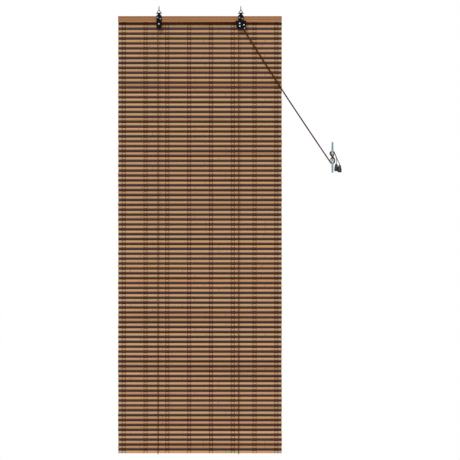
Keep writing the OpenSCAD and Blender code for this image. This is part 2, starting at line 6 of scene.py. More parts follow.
from __future__ import annotations

import json
import logging
import math
import random
from dataclasses import dataclass, field
from enum import Enum
from typing import Any, Callable, Iterable, Sequence

import bmesh
import bpy
from mathutils import Matrix, Vector

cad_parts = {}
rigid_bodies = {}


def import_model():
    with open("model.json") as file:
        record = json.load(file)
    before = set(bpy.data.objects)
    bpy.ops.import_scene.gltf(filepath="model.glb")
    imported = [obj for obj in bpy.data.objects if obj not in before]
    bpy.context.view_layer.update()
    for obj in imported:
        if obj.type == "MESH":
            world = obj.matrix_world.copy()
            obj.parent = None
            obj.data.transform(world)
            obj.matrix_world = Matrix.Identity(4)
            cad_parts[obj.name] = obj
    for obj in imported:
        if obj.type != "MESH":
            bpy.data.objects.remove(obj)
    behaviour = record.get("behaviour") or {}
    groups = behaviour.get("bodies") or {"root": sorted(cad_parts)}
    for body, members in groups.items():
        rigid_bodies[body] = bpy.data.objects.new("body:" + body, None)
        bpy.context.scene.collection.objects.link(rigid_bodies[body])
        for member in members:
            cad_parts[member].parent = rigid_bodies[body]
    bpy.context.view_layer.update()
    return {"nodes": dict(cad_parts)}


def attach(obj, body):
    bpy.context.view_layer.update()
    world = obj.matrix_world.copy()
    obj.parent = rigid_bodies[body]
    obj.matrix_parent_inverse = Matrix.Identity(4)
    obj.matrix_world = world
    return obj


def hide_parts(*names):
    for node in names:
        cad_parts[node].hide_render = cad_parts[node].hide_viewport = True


LOG = logging.getLogger("blind")
ROOT_BODY = "blind"
BRAID_LOBES = 3.0
BRAID_PITCH = 0.012

Colour = tuple[float, float, float, float]
Triple = tuple[float, float, float]


def srgb(red: int, green: int, blue: int) -> Colour:
    """Turns a colour of 0 to 255 a channel into linear light.

    Args:
        red: Red as seen on a screen.
        green: Green as seen on a screen.
        blue: Blue as seen on a screen.

    Returns:
        The colour as Blender's sockets take it.
    """

    def linear(channel: int) -> float:
        """Undoes the screen's curve for one channel."""
        share = channel / 255
        return share / 12.92 if share <= 0.04045 else ((share + 0.055) / 1.055) ** 2.4

    return (linear(red), linear(green), linear(blue), 1.0)


# Node trees as Python expressions


def operator(operation: str, reflected: bool = False) -> Callable[["Wire", Any], "Wire"]:
    """A Python operator on wires that adds one Math node.

    Args:
        operation: The Math node's operation.
        reflected: Whether the other value comes first.

    Returns:
        The operator's method.
    """

    def method(self: "Wire", other: "Wire | float") -> "Wire":
        """Adds the node and gives its result."""
        first, second = (other, self) if reflected else (self, other)
        return self.graph.node("ShaderNodeMath", {"operation": operation}, {0: first, 1: second})

    return method


class Wire:
    """An output socket that takes part in Python arithmetic and adds Math nodes as it does."""

    __add__ = operator("ADD")
    __radd__ = operator("ADD", True)
    __sub__ = operator("SUBTRACT")
    __rsub__ = operator("SUBTRACT", True)
    __mul__ = operator("MULTIPLY")
    __rmul__ = operator("MULTIPLY", True)
    __truediv__ = operator("DIVIDE")
    __pow__ = operator("POWER")

    def __init__(self, graph: "Graph", socket: bpy.types.NodeSocket) -> None:
        """Holds the socket and the graph that it belongs to."""
        self.graph = graph
        self.socket = socket

    def out(self, name: str) -> "Wire":
        """Another output of the same node, by its name."""
        return Wire(self.graph, find_socket(self.socket.node.outputs, name))

    def apply(self, operation: str, *others: "Wire | float") -> "Wire":
        """A Math node with this value first.

        Args:
            operation: The Math node's operation.
            others: What goes into the node's other sockets.

        Returns:
            The node's result.
        """
        inputs = {index: value for index, value in enumerate((self, *others))}
        return self.graph.node("ShaderNodeMath", {"operation": operation}, inputs)

    def floor(self) -> "Wire":
        """The whole number below."""
        return self.apply("FLOOR")

    def sine(self) -> "Wire":
        """The sine of an angle in radians."""
        return self.apply("SINE")

    def clamped(self) -> "Wire":
        """The value held between 0 and 1."""
        return self.graph.node("ShaderNodeClamp", {}, {"Value": self})


def find_socket(sockets: Any, key: str | int) -> bpy.types.NodeSocket:
    """Finds a socket by its place, or by its name among those that the node's settings leave in use.

    Args:
        sockets: A node's inputs or outputs.
        key: The socket's place or name.

    Returns:
        The socket.
    """
    if isinstance(key, int):
        return sockets[key]
    return next(s for s in sockets if s.name == key and s.enabled and not s.is_unavailable)


class Graph:
    """A node tree that is built by calls, in a material or in Geometry Nodes."""

    def __init__(self, tree: bpy.types.NodeTree) -> None:
        """Starts from an empty tree."""
        self.tree = tree
        tree.nodes.clear()

    def node(
        self,
        kind: str,
        settings: dict[str, Any] | None = None,
        inputs: dict[str | int, Any] | None = None,
        output: str | int = 0,
    ) -> Wire:
        """Adds a node, with its settings first and then its sockets.

        Args:
            kind: Blender's name of the node type.
            settings: Properties of the node; stops are a ramp's places and colours.
            inputs: Values or wires, by the sockets' names or places.
            output: The output that is wanted.

        Returns:
            That output.
        """
        made = self.tree.nodes.new(kind)
        for name, value in (settings or {}).items():
            if name == "stops":
                self.fill_ramp(made.color_ramp, value)
            else:
                setattr(made, name, value)
        for key, value in (inputs or {}).items():
            socket = find_socket(made.inputs, key)
            if isinstance(value, Wire):
                self.tree.links.new(value.socket, socket)
            else:
                socket.default_value = value
        outputs = made.outputs
        return Wire(self, find_socket(outputs, output)) if len(outputs) else Wire(self, made.inputs[0])

    @staticmethod
    def fill_ramp(ramp: bpy.types.ColorRamp, stops: Sequence[tuple[float, Colour]]) -> None:
        """Sets a colour ramp's stops."""
        while len(ramp.elements) < len(stops):
            ramp.elements.new(1.0)
        for element, (place, colour) in zip(ramp.elements, stops):
            element.position = place
            element.color = colour

    def vector(self, operation: str, first: Any, second: Any) -> Wire:
        """A Vector Math node on two vectors."""
        return self.node("ShaderNodeVectorMath", {"operation": operation}, {0: first, 1: second})

    def join_axes(self, x: Any = 0.0, y: Any = 0.0, z: Any = 0.0) -> Wire:
        """A vector from its three parts."""
        return self.node("ShaderNodeCombineXYZ", {}, {"X": x, "Y": y, "Z": z})

    def split_axes(self, vector: Wire) -> tuple[Wire, Wire, Wire]:
        """The three parts of a vector."""
        x = self.node("ShaderNodeSeparateXYZ", {}, {0: vector}, "X")
        return x, x.out("Y"), x.out("Z")

    def noise(self, vector: Any, detail: float = 2.0, roughness: float = 0.5) -> Wire:
        """A noise texture's value, about 0 to 1."""
        inputs = {"Vector": vector, "Scale": 1.0, "Detail": detail, "Roughness": roughness}
        return self.node("ShaderNodeTexNoise", {}, inputs)

    def mix(self, factor: Any, first: Any, second: Any, blend: str = "MIX") -> Wire:
        """Mixes two colours.

        Args:
            factor: Share of the second colour.
            first: The first colour.
            second: The second colour.
            blend: The Mix node's blend.

        Returns:
            The mixed colour.
        """
        settings = {"data_type": "RGBA", "blend_type": blend}
        inputs = {"Factor": factor, "A": first, "B": second}
        return self.node("ShaderNodeMix", settings, inputs, "Result")

    def shaded(self, colour: Wire, shade: Wire) -> Wire:
        """A colour times a number."""
        grey = self.node("ShaderNodeCombineColor", {}, {"Red": shade, "Green": shade, "Blue": shade})
        return self.mix(1.0, colour, grey, "MULTIPLY")


class Finish:
    """What every finish shares: one material, made once, with its colour, roughness and relief."""

    name: str

    def material(self) -> bpy.types.Material:
        """The finish's material, made at the first call.

        Returns:
            The material.
        """
        label = self.name + "_finish"
        made = bpy.data.materials.get(label)
        if made is None:
            made = bpy.data.materials.new(label)
            made.use_nodes = True
            self.paint(Graph(made.node_tree))
        return made

    def paint(self, graph: Graph) -> None:
        """Adds the nodes of this finish."""
        raise NotImplementedError

    @staticmethod
    def surface(graph: Graph, varying: dict[str, Any], constant: dict[str, Any], relief: Wire,
                depth: float, strength: float) -> None:
        """Ends a material in one Principled shader.

        Args:
            graph: The material's nodes.
            varying: Base Color, Roughness and other sockets that change over the surface.
            constant: Sockets with one value all over.
            relief: Height for the bump, 0 to 1.
            depth: What a height of 1 stands for, in metres.
            strength: The bump's strength.
        """
        bump = {"Height": relief, "Distance": depth, "Strength": strength}
        normal = graph.node("ShaderNodeBump", {}, bump)
        shader = graph.node("ShaderNodeBsdfPrincipled", {}, {**constant, **varying, "Normal": normal})
        graph.node("ShaderNodeOutputMaterial", {}, {"Surface": shader})

    @staticmethod
    def place(graph: Graph, stretch: Triple | float) -> Wire:
        """Object coordinates, stretched.

        Args:
            graph: The material's nodes.
            stretch: One factor, or a factor along each axis.

        Returns:
            The place in the piece's own space, which is in metres when the factors are 1.
        """
        spot = graph.node("ShaderNodeTexCoord", {}, {}, "Object")
        factors = stretch if isinstance(stretch, tuple) else (stretch, stretch, stretch)
        return graph.vector("MULTIPLY", spot, factors)

    def speckle(self, graph: Graph, stretch: Triple | float, detail: float = 2.0,
                roughness: float = 0.5) -> Wire:
        """Noise in the piece's own space, with about so many spots to a metre."""
        return graph.noise(self.place(graph, stretch), detail, roughness)

    @staticmethod
    def attribute(graph: Graph, name: str) -> Wire:
        """A number that the mesh carries."""
        return graph.node("ShaderNodeAttribute", {"attribute_name": name}, {}, "Fac")


# Finishes


@dataclass(frozen=True)
class BambooFinish(Finish):
    """Split bamboo: light and dark stained slats with fibres, knuckles, and painted shade towards their
    edges.

    Attributes:
        light: Colours of the bare slats.
        dark: Colours of the stained slats.
        light_knuckle_and_edge_shade: Colour of a bare slat's knuckles, and of the painted shade at its
            edges.
        dark_knuckle_and_edge_shade: Colour of a stained slat's knuckles, and of the painted shade at its
            edges.
        fibre_scale: Fibres to a metre, along each axis.
        streak_scale: Streaks to a metre, along each axis.
        slide: How far the pattern may slide along a slat.
        relief: Depth of the fibres.
    """

    name: str = "bamboo"
    light: tuple[Colour, ...] = (
        srgb(172, 125, 82), srgb(189, 145, 103), srgb(197, 153, 112),
        srgb(186, 150, 104), srgb(201, 151, 101), srgb(180, 134, 92),
    )
    dark: tuple[Colour, ...] = (srgb(38, 21, 19), srgb(51, 32, 28), srgb(43, 25, 23), srgb(59, 37, 31))
    light_knuckle_and_edge_shade: Colour = srgb(122, 80, 48)
    dark_knuckle_and_edge_shade: Colour = srgb(24, 14, 13)
    fibre_scale: Triple = (9.0, 700.0, 900.0)
    streak_scale: Triple = (2.2, 150.0, 190.0)
    slide: float = 40.0
    relief: float = 0.00025

    @staticmethod
    def ramp(graph: Graph, factor: Wire, colours: Sequence[Colour]) -> Wire:
        """Even stops from the first colour to the last."""
        stops = [(i / (len(colours) - 1), colour) for i, colour in enumerate(colours)]
        return graph.node("ShaderNodeValToRGB", {"stops": stops}, {"Fac": factor}, "Color")

    def paint(self, graph: Graph) -> None:
        """Adds the nodes of this finish.

        Args:
            graph: The material's nodes.
        """
        tone = self.attribute(graph, "tone")
        stain = self.attribute(graph, "stain")
        knuckle = self.attribute(graph, "knuckle")
        # rim is the painted shade at the slats' edges: 0 at a crown's middle and 1 at its edges by the
        # grooves.
        rim = self.attribute(graph, "rim")
        shift = graph.join_axes(self.attribute(graph, "shift") * self.slide)
        fibre_at = graph.vector("ADD", self.place(graph, self.fibre_scale), shift)
        streak_at = graph.vector("ADD", self.place(graph, self.streak_scale), shift)
        fibre = graph.noise(fibre_at, 3.0, 0.6)
        streak = graph.noise(streak_at)
        hue = (tone + (streak - 0.5) * 0.55).clamped()
        bare = self.ramp(graph, hue, self.light)
        stained = self.ramp(graph, hue, self.dark)
        body = graph.mix(stain, bare, stained)
        # Painted shade: each slat darkens towards its edges by rim. The knuckles, which are darker in
        # the cane itself, take the same colour. worn holds both.
        edge = graph.mix(stain, self.light_knuckle_and_edge_shade, self.dark_knuckle_and_edge_shade)
        worn = graph.mix((rim * 0.62 + knuckle * 0.5).clamped(), body, edge)
        colour = graph.shaded(worn, fibre * 0.5 + streak * 0.3 + 0.6)
        rough = 0.42 + fibre * 0.2 + rim * 0.1
        self.surface(
            graph, {"Base Color": colour, "Roughness": rough}, {"Specular IOR Level": 0.22},
            fibre * 0.7 + streak * 0.3, self.relief, 0.55,
        )


@dataclass(frozen=True)
class RailFinish(Finish):
    """Varnished wood with bands of grain along the rail, and painted shade along its top.

    Attributes:
        top: Height of the rail's top.
        height: Height of the rail.
        bands: Colours of the wood, from the rail's bottom, 0, to its top, 1; the darkest stops at the
            top are painted shade of the rounded top edge.
        wander_scale: Waves of the bands to a metre, along each axis.
        grain_scale: Lines of grain to a metre, along each axis.
        pore_scale: Pores to a metre, along each axis.
        relief: Depth of the grain.
    """

    name: str = "rail_wood"
    top: float = -0.0344
    height: float = 0.0215
    # The stops from 0.82 up darken the rail's top as painted shade of its rounded top edge; those below
    # are the wood's own bands.
    bands: tuple[tuple[float, Colour], ...] = (
        (0.0, srgb(178, 122, 74)), (0.14, srgb(184, 129, 80)), (0.26, srgb(151, 101, 60)),
        (0.38, srgb(139, 94, 56)), (0.5, srgb(161, 117, 78)), (0.62, srgb(166, 110, 66)),
        (0.72, srgb(164, 104, 59)), (0.82, srgb(132, 83, 45)), (0.92, srgb(116, 72, 39)),
        (1.0, srgb(100, 60, 32)),
    )
    wander_scale: Triple = (2.5, 25.0, 40.0)
    grain_scale: Triple = (7.0, 420.0, 520.0)
    pore_scale: Triple = (60.0, 1500.0, 1500.0)
    relief: float = 0.0002

    def paint(self, graph: Graph) -> None:
        """Adds the nodes of this finish.

        Args:
            graph: The material's nodes.
        """
        spot = graph.node("ShaderNodeTexCoord", {}, {}, "Object")
        _, depth, height = graph.split_axes(spot)
        wander = self.speckle(graph, self.wander_scale, 3.0)
        share = (height - (self.top - self.height)) / self.height
        # level rises up the rail and a little towards the back, so the top takes the painted shade of
        # the last stops.
        level = (share + (wander - 0.5) * 0.3 + depth * 4.0).clamped()
        band = graph.node("ShaderNodeValToRGB", {"stops": self.bands}, {"Fac": level}, "Color")
        grain = self.speckle(graph, self.grain_scale, 4.0, 0.65)
        pore = self.speckle(graph, self.pore_scale, 1.0)
        colour = graph.shaded(band, grain * 0.45 + pore * 0.12 + 0.72)
        self.surface(
            graph, {"Base Color": colour, "Roughness": 0.36 + grain * 0.2},
            {"Specular IOR Level": 0.2, "Coat Weight": 0.04, "Coat Roughness": 0.25},
            grain * 0.7 + pore * 0.3, self.relief, 0.4,
        )


@dataclass(frozen=True)
class StrandFinish(Finish):
    """Twisted or braided fibre, with strands that follow the mesh's own length and turn, and painted
    shade between them.

    Attributes:
        low: Colour between the strands, dark as painted shade of the grooves.
        high: Colour on the strands.
        lobes: Strands one way round.
        pitch: Length of one turn of a strand.
        braided: Whether strands run both ways round.
        fuzz_scale: Loose fibres to a metre.
        patch_scale: Paler patches to a metre.
        relief: Depth between the strands.
    """

    name: str
    low: Colour
    high: Colour
    lobes: float
    pitch: float
    braided: bool
    fuzz_scale: float = 2600.0
    patch_scale: float = 90.0
    relief: float = 0.00025

    def paint(self, graph: Graph) -> None:
        """Adds the nodes of this finish.

        Args:
            graph: The material's nodes.
        """
        along = self.attribute(graph, "along")
        turn = self.attribute(graph, "turn_sin").apply("ARCTAN2", self.attribute(graph, "turn_cos"))
        run = along * (math.tau / self.pitch)
        weave = (turn * self.lobes + run).sine() * 0.5 + 0.5
        if self.braided:
            other_way = (turn * self.lobes - run).sine() * 0.5 + 0.5
            weave = weave.apply("MAXIMUM", other_way)
        fuzz = self.speckle(graph, self.fuzz_scale)
        patch = self.speckle(graph, self.patch_scale)
        # Where weave is low, between the strands, the colour darkens as painted shade of the grooves;
        # fuzz and patches vary the fibre's own colour.
        level = (weave * 0.55 + fuzz * 0.3 + patch * 0.3 - 0.1).clamped()
        colour = graph.mix(level, self.low, self.high)
        self.surface(
            graph, {"Base Color": colour, "Roughness": 0.72 + fuzz * 0.2}, {"Specular IOR Level": 0.0},
            weave * 0.8 + fuzz * 0.2, self.relief, 0.8,
        )


@dataclass(frozen=True)
class MetalFinish(Finish):
    """Bare or plated metal with fine brush marks and duller patches.

    Attributes:
        bright: Colour of the clean metal.
        dull: Colour of the duller patches.
        roughness: Least roughness.
        marks: Brush marks to a metre, along each axis.
        metallic: How metallic it is, 0 to 1.
        patch_scale: Duller patches to a metre.
        relief: Depth of the marks.
    """

    name: str
    bright: Colour
    dull: Colour
    roughness: float
    marks: Triple = (900.0, 900.0, 900.0)
    metallic: float = 1.0
    patch_scale: float = 220.0
    relief: float = 0.00004

    def paint(self, graph: Graph) -> None:
        """Adds the nodes of this finish.

        Args:
            graph: The material's nodes.
        """
        marks = self.speckle(graph, self.marks, 3.0, 0.6)
        patch = self.speckle(graph, self.patch_scale)
        level = (marks * 0.5 + patch * 0.7 - 0.15).clamped()
        colour = graph.mix(level, self.dull, self.bright)
        rough = self.roughness + (1.0 - level) * 0.22
        self.surface(
            graph, {"Base Color": colour, "Roughness": rough}, {"Metallic": self.metallic},
            marks, self.relief, 0.35,
        )


@dataclass(frozen=True)
class EnamelFinish(Finish):
    """Paint on metal: an even coat with orange peel, specks and dull rubbed patches.

    Attributes:
        coat: Colour of the paint.
        rubbed: Colour of the rubbed patches.
        roughness: Least roughness.
        metallic: How metallic it is, 0 to 1.
        gloss: Weight of the clear coat.
        peel_scale: Dimples of the paint to a metre.
        rub_scale: Rubbed patches to a metre.
        relief: Depth of the dimples.
    """

    name: str
    coat: Colour
    rubbed: Colour
    roughness: float
    metallic: float = 0.0
    gloss: float = 0.3
    peel_scale: float = 1400.0
    rub_scale: float = 130.0
    relief: float = 0.00006

    def paint(self, graph: Graph) -> None:
        """Adds the nodes of this finish.

        Args:
            graph: The material's nodes.
        """
        peel = self.speckle(graph, self.peel_scale)
        rub = self.speckle(graph, self.rub_scale, 4.0, 0.65)
        worn = ((rub - 0.5) * 3.0 + 0.3).clamped()
        colour = graph.mix(worn * 0.7 + peel * 0.3, self.coat, self.rubbed)
        self.surface(
            graph, {"Base Color": colour, "Roughness": self.roughness + worn * 0.14 + peel * 0.06},
            {"Metallic": self.metallic, "Coat Weight": self.gloss, "Coat Roughness": 0.2,
             "Specular IOR Level": self.gloss},
            peel, self.relief, 0.4,
        )


@dataclass(frozen=True)
class PlasticFinish(Finish):
    """Moulded plastic with a fine matt texture and a little dust in it.

    Attributes:
        base: Colour of the plastic.
        dust: Colour of the dust.
        roughness: Least roughness.
        stipple_scale: Dots of the matt texture to a metre.
        smear_scale: Smears of dust to a metre, along each axis.
        relief: Depth of the texture.
    """

    name: str
    base: Colour
    dust: Colour
    roughness: float
    stipple_scale: float = 2400.0
    smear_scale: Triple = (160.0, 160.0, 90.0)
    relief: float = 0.00005

    def paint(self, graph: Graph) -> None:
        """Adds the nodes of this finish.

        Args:
            graph: The material's nodes.
        """
        stipple = self.speckle(graph, self.stipple_scale, 1.0)
        smear = self.speckle(graph, self.smear_scale, 3.0)
        level = ((smear - 0.4) * 1.4 + stipple * 0.2).clamped()
        colour = graph.mix(level, self.base, self.dust)
        self.surface(
            graph, {"Base Color": colour, "Roughness": self.roughness + smear * 0.18},
            {"Specular IOR Level": 0.36}, stipple, self.relief, 0.4,
        )


@dataclass(frozen=True)
class FloorFinish(Finish):
    """The studio's pale floor, faintly mottled, which fades out towards its rim.

    Attributes:
        pale: Its lighter colour.
        shade: Its darker colour.
        mottle_scale: Spots to a metre.
        fade_from: Distance from the middle where it starts to fade.
        fade_to: Distance from the middle where it is gone.
    """

    name: str = "studio_floor"
    pale: Colour = srgb(236, 236, 236)
    shade: Colour = srgb(228, 228, 228)
    mottle_scale: float = 0.8
    fade_from: float = 1.6
    fade_to: float = 3.8

    def paint(self, graph: Graph) -> None:
        """Adds the nodes of this finish.

        Args:
            graph: The material's nodes.
        """
        colour = graph.mix(self.speckle(graph, self.mottle_scale), self.pale, self.shade)
        shader = graph.node("ShaderNodeBsdfPrincipled", {}, {"Base Color": colour, "Roughness": 0.9})
        x, y, _ = graph.split_axes(self.place(graph, 1.0))
        reach = (x * x + y * y) ** 0.5
        share = ((reach - self.fade_from) / (self.fade_to - self.fade_from)).clamped()
        clear = graph.node("ShaderNodeBsdfTransparent")
        faded = graph.node("ShaderNodeMixShader", {}, {0: share, 1: shader, 2: clear})
        graph.node("ShaderNodeOutputMaterial", {}, {"Surface": faded})


BAMBOO = BambooFinish()
RAIL_WOOD = RailFinish()
# Each strand finish's low colour is painted shade in the grooves between its strands.
YARN = StrandFinish("warp_yarn", srgb(48, 14, 8), srgb(94, 38, 22), 2.0, 0.003, False)
CORD = StrandFinish("cord_braid", srgb(24, 12, 2), srgb(98, 57, 18), BRAID_LOBES, BRAID_PITCH, True)
BLACK_PLATE = EnamelFinish("black_plate", srgb(6, 6, 6), srgb(18, 17, 17), 0.42, 0.0, 0.04)
# The rivets are plated metal, partly: their near-white, only half metallic colour is a painted highlight
# that keeps each head bright all over.
GLINT_PAINTED_RIVET = MetalFinish("bright_rivet", srgb(240, 239, 243), srgb(206, 205, 211), 0.3, metallic=0.45)
SCREW_STEEL = MetalFinish("screw_steel", srgb(168, 167, 172), srgb(104, 102, 106), 0.3)
HOOK_WIRE = MetalFinish("hook_wire", srgb(30, 30, 32), srgb(16, 16, 17), 0.4, (1800.0, 1800.0, 300.0))
STAPLE_WIRE = MetalFinish("staple_wire", srgb(196, 194, 192), srgb(140, 136, 132), 0.3)
CAM_METAL = MetalFinish("cam_metal", srgb(190, 190, 194), srgb(128, 128, 132), 0.38)
SHEAVE_PLASTIC = PlasticFinish("sheave_plastic", srgb(226, 222, 212), srgb(202, 197, 186), 0.4)
BELL_PLASTIC = PlasticFinish("bell_plastic", srgb(22, 21, 23), srgb(48, 46, 46), 0.36)
CLEAT_ENAMEL = EnamelFinish("cleat_enamel", srgb(134, 155, 163), srgb(98, 117, 125), 0.3, 0.35, 0.4)
FLOOR = FloorFinish()


# Geometry Nodes


SLAT_CREASE = 0.75
YARN_CREASE = 2.5
CORD_CREASE = 1.2
SOCKET_KINDS = {
    "Rows": "NodeSocketInt", "Line": "NodeSocketObject", "Dark Slats": "NodeSocketCollection",
    "Light Slats": "NodeSocketCollection", "Material": "NodeSocketMaterial",
}


class GeometryTree(Graph):
    """A Geometry Nodes tree with named inputs, which is baked into a plain mesh."""

    def __init__(self, name: str, *labels: str) -> None:
        """Makes the tree, its inputs and one more input for the material.

        Args:
            name: The tree's name.
            labels: The inputs' names; those that SOCKET_KINDS doesn't list are numbers.
        """
        super().__init__(bpy.data.node_groups.new(name, "GeometryNodeTree"))
        face = self.tree.interface
        for label in (*labels, "Material"):
            kind = SOCKET_KINDS.get(label, "NodeSocketFloat")
            face.new_socket(name=label, in_out="INPUT", socket_type=kind)
        face.new_socket(name="Geometry", in_out="OUTPUT", socket_type="NodeSocketGeometry")
        self.inlet = self.node("NodeGroupInput")

    def given(self, name: str) -> Wire:
        """The value of one of the tree's inputs."""
        return self.inlet.out(name)

    def number(self, name: str) -> Wire:
        """An attribute that the geometry carries."""
        settings = {"data_type": "FLOAT"}
        return self.node("GeometryNodeInputNamedAttribute", settings, {"Name": name}, "Attribute")

    def store(self, geometry: Wire, name: str, value: Any, domain: str = "POINT") -> Wire:
        """Writes an attribute on the geometry.

        Args:
            geometry: What carries the attribute.
            name: The attribute's name.
            value: A number or a wire.
            domain: What the numbers belong to, such as points.

        Returns:
            The geometry with the attribute.
        """
        settings = {"data_type": "FLOAT", "domain": domain}
        inputs = {"Geometry": geometry, "Name": name, "Value": value}
        return self.node("GeometryNodeStoreNamedAttribute", settings, inputs)

    def chance(self, low: float, high: float, seed: int) -> Wire:
        """A random number for each element, the same at each run."""
        inputs = {"Min": low, "Max": high, "Seed": seed}
        return self.node("FunctionNodeRandomValue", {"data_type": "FLOAT"}, inputs, "Value")

    def joined(self, parts: Iterable[Wire]) -> Wire:
        """Several geometries as one.

        Args:
            parts: The geometries.

        Returns:
            All of them together.
        """
        made = self.node("GeometryNodeJoinGeometry")
        for part in parts:
            self.tree.links.new(part.socket, made.socket.node.inputs[0])
        return made

    def realized(self, geometry: Wire) -> Wire:
        """Instances as a mesh of their own."""
        return self.node("GeometryNodeRealizeInstances", {}, {"Geometry": geometry})

    def swayed(self, path: Wire, detail: float, reach: Triple) -> Wire:
        """A direction that changes smoothly along a path, with its reach along each axis."""
        drift = self.noise(path, detail).out("Color")
        return self.vector("MULTIPLY", self.vector("SUBTRACT", drift, (0.5, 0.5, 0.5)), reach)

    def pushed(self, geometry: Wire, way: Wire, far: Wire) -> Wire:
        """Moves each point of a geometry along a direction."""
        offset = self.node("ShaderNodeVectorMath", {"operation": "SCALE"}, {0: way, "Scale": far})
        return self.node("GeometryNodeSetPosition", {}, {"Geometry": geometry, "Offset": offset})

    def plotted(self, count: Wire, x: Wire, y: Wire, z: Wire) -> Wire:
        """A curve through places that are worked out from the points' numbers.

        Args:
            count: How many points there are.
            x: Place along the rail.
            y: Depth.
            z: Height.

        Returns:
            The curve.
        """
        line = self.node("GeometryNodeMeshLine", {"mode": "OFFSET"}, {"Count": count})
        inputs = {"Geometry": line, "Position": self.join_axes(x, y, z)}
        placed = self.node("GeometryNodeSetPosition", {}, inputs)
        return self.node("GeometryNodeMeshToCurve", {}, {"Mesh": placed})

    def end(self, geometry: Wire, crease: float) -> None:
        """Realizes instances, shades smooth up to an angle, and sets the material.

        Args:
            geometry: What the tree makes.
            crease: Edges sharper than this stay hard, in radians.
        """
        solid = self.realized(geometry)
        smooth = self.node("GeometryNodeSetShadeSmooth", {"domain": "FACE"}, {0: solid})
        angle = self.node("GeometryNodeInputMeshEdgeAngle", {}, {}, "Unsigned Angle")
        hard = self.node("FunctionNodeCompare", {"operation": "GREATER_THAN"}, {"A": angle, "B": crease})
        shaded = self.node(
            "GeometryNodeSetShadeSmooth", {"domain": "EDGE"},
            {0: smooth, "Selection": hard, "Shade Smooth": False},
        )
        inputs = {"Geometry": shaded, "Material": self.given("Material")}
        dressed = self.node("GeometryNodeSetMaterial", {}, inputs)
        self.node("NodeGroupOutput", {}, {"Geometry": dressed})

    def bake(self, name: str, values: dict[str, Any]) -> bpy.types.Object:
        """Runs the tree once and keeps its result as a plain mesh.

        Args:
            name: The new object's name.
            values: What the tree's inputs are set to.

        Returns:
            The object, at the origin.
        """
        host = link(bpy.data.objects.new(name + "_host", bpy.data.meshes.new(name + "_host")))
        modifier = host.modifiers.new("build", "NODES")
        modifier.node_group = self.tree
        for item in self.tree.interface.items_tree:
            if item.in_out == "INPUT" and item.name in values:
                modifier[item.identifier] = values[item.name]
        depsgraph = bpy.context.evaluated_depsgraph_get()
        mesh = bpy.data.meshes.new_from_object(host.evaluated_get(depsgraph))
        mesh.name = name
        mesh.materials.clear()
        mesh.materials.append(values["Material"])
        spare = host.data
        bpy.data.objects.remove(host)
        bpy.data.meshes.remove(spare)
        return link(bpy.data.objects.new(name, mesh))


def round_tube(tree: GeometryTree, curve: Wire, radius: Wire, sides: int) -> Wire:
    """A tube along a curve that carries its length and turn as attributes.

    Args:
        tree: The tree to build in.
        curve: The middle line.
        radius: The tube's radius.
        sides: Number of sides.

    Returns:
        The tube as a mesh.
    """
    run = tree.node("GeometryNodeSplineParameter", {}, {}, "Length")
    marked = tree.store(curve, "along", run)
    circle = tree.node(
        "GeometryNodeCurvePrimitiveCircle", {"mode": "RADIUS"}, {"Resolution": sides, "Radius": radius}
    )
    angle = tree.node("GeometryNodeInputIndex") * (math.tau / sides)
    turned = tree.store(circle, "turn_cos", angle.apply("COSINE"))
    profile = tree.store(turned, "turn_sin", angle.sine())
    inputs = {"Curve": marked, "Profile Curve": profile, "Fill Caps": True}
    return tree.node("GeometryNodeCurveToMesh", {}, inputs)


# Handing pieces over


def link(thing: bpy.types.Object) -> bpy.types.Object:
    """Puts an object into the scene."""
    bpy.context.scene.collection.objects.link(thing)
    return thing


def report(piece: bpy.types.Object) -> None:
    """Logs a finished piece and its number of triangles."""
    piece.data.calc_loop_triangles()
    LOG.info("%s: %d triangles", piece.name, len(piece.data.loop_triangles))


def settle(piece: bpy.types.Object, body: str, slot: str, *nodes: str) -> bpy.types.Object:
    """Hands a finished piece to the frame.

    Args:
        piece: The piece, in place.
        body: The body that it moves with.
        slot: The record's material slot; not used.
        nodes: The CAD nodes that it stands for.

    Returns:
        The piece.
    """
    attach(piece, body)
    if nodes:
        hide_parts(*nodes)
    report(piece)
    return piece


def merged(name: str, parts: Sequence[bpy.types.Object]) -> bpy.types.Object:
    """Several mesh pieces as one, with their attributes kept.

    Args:
        name: The new piece's name.
        parts: The pieces, which are used up.

    Returns:
        The new piece.
    """
    with bpy.context.temp_override(
        active_object=parts[0], selected_editable_objects=list(parts), selected_objects=list(parts)
    ):
        bpy.ops.object.join()
    parts[0].name = name
    parts[0].data.name = name
    return parts[0]


# The mat


class SlatKind(Enum):
    """The two slats that take turns down the mat."""

    DARK = 1.0
    LIGHT = 0.0


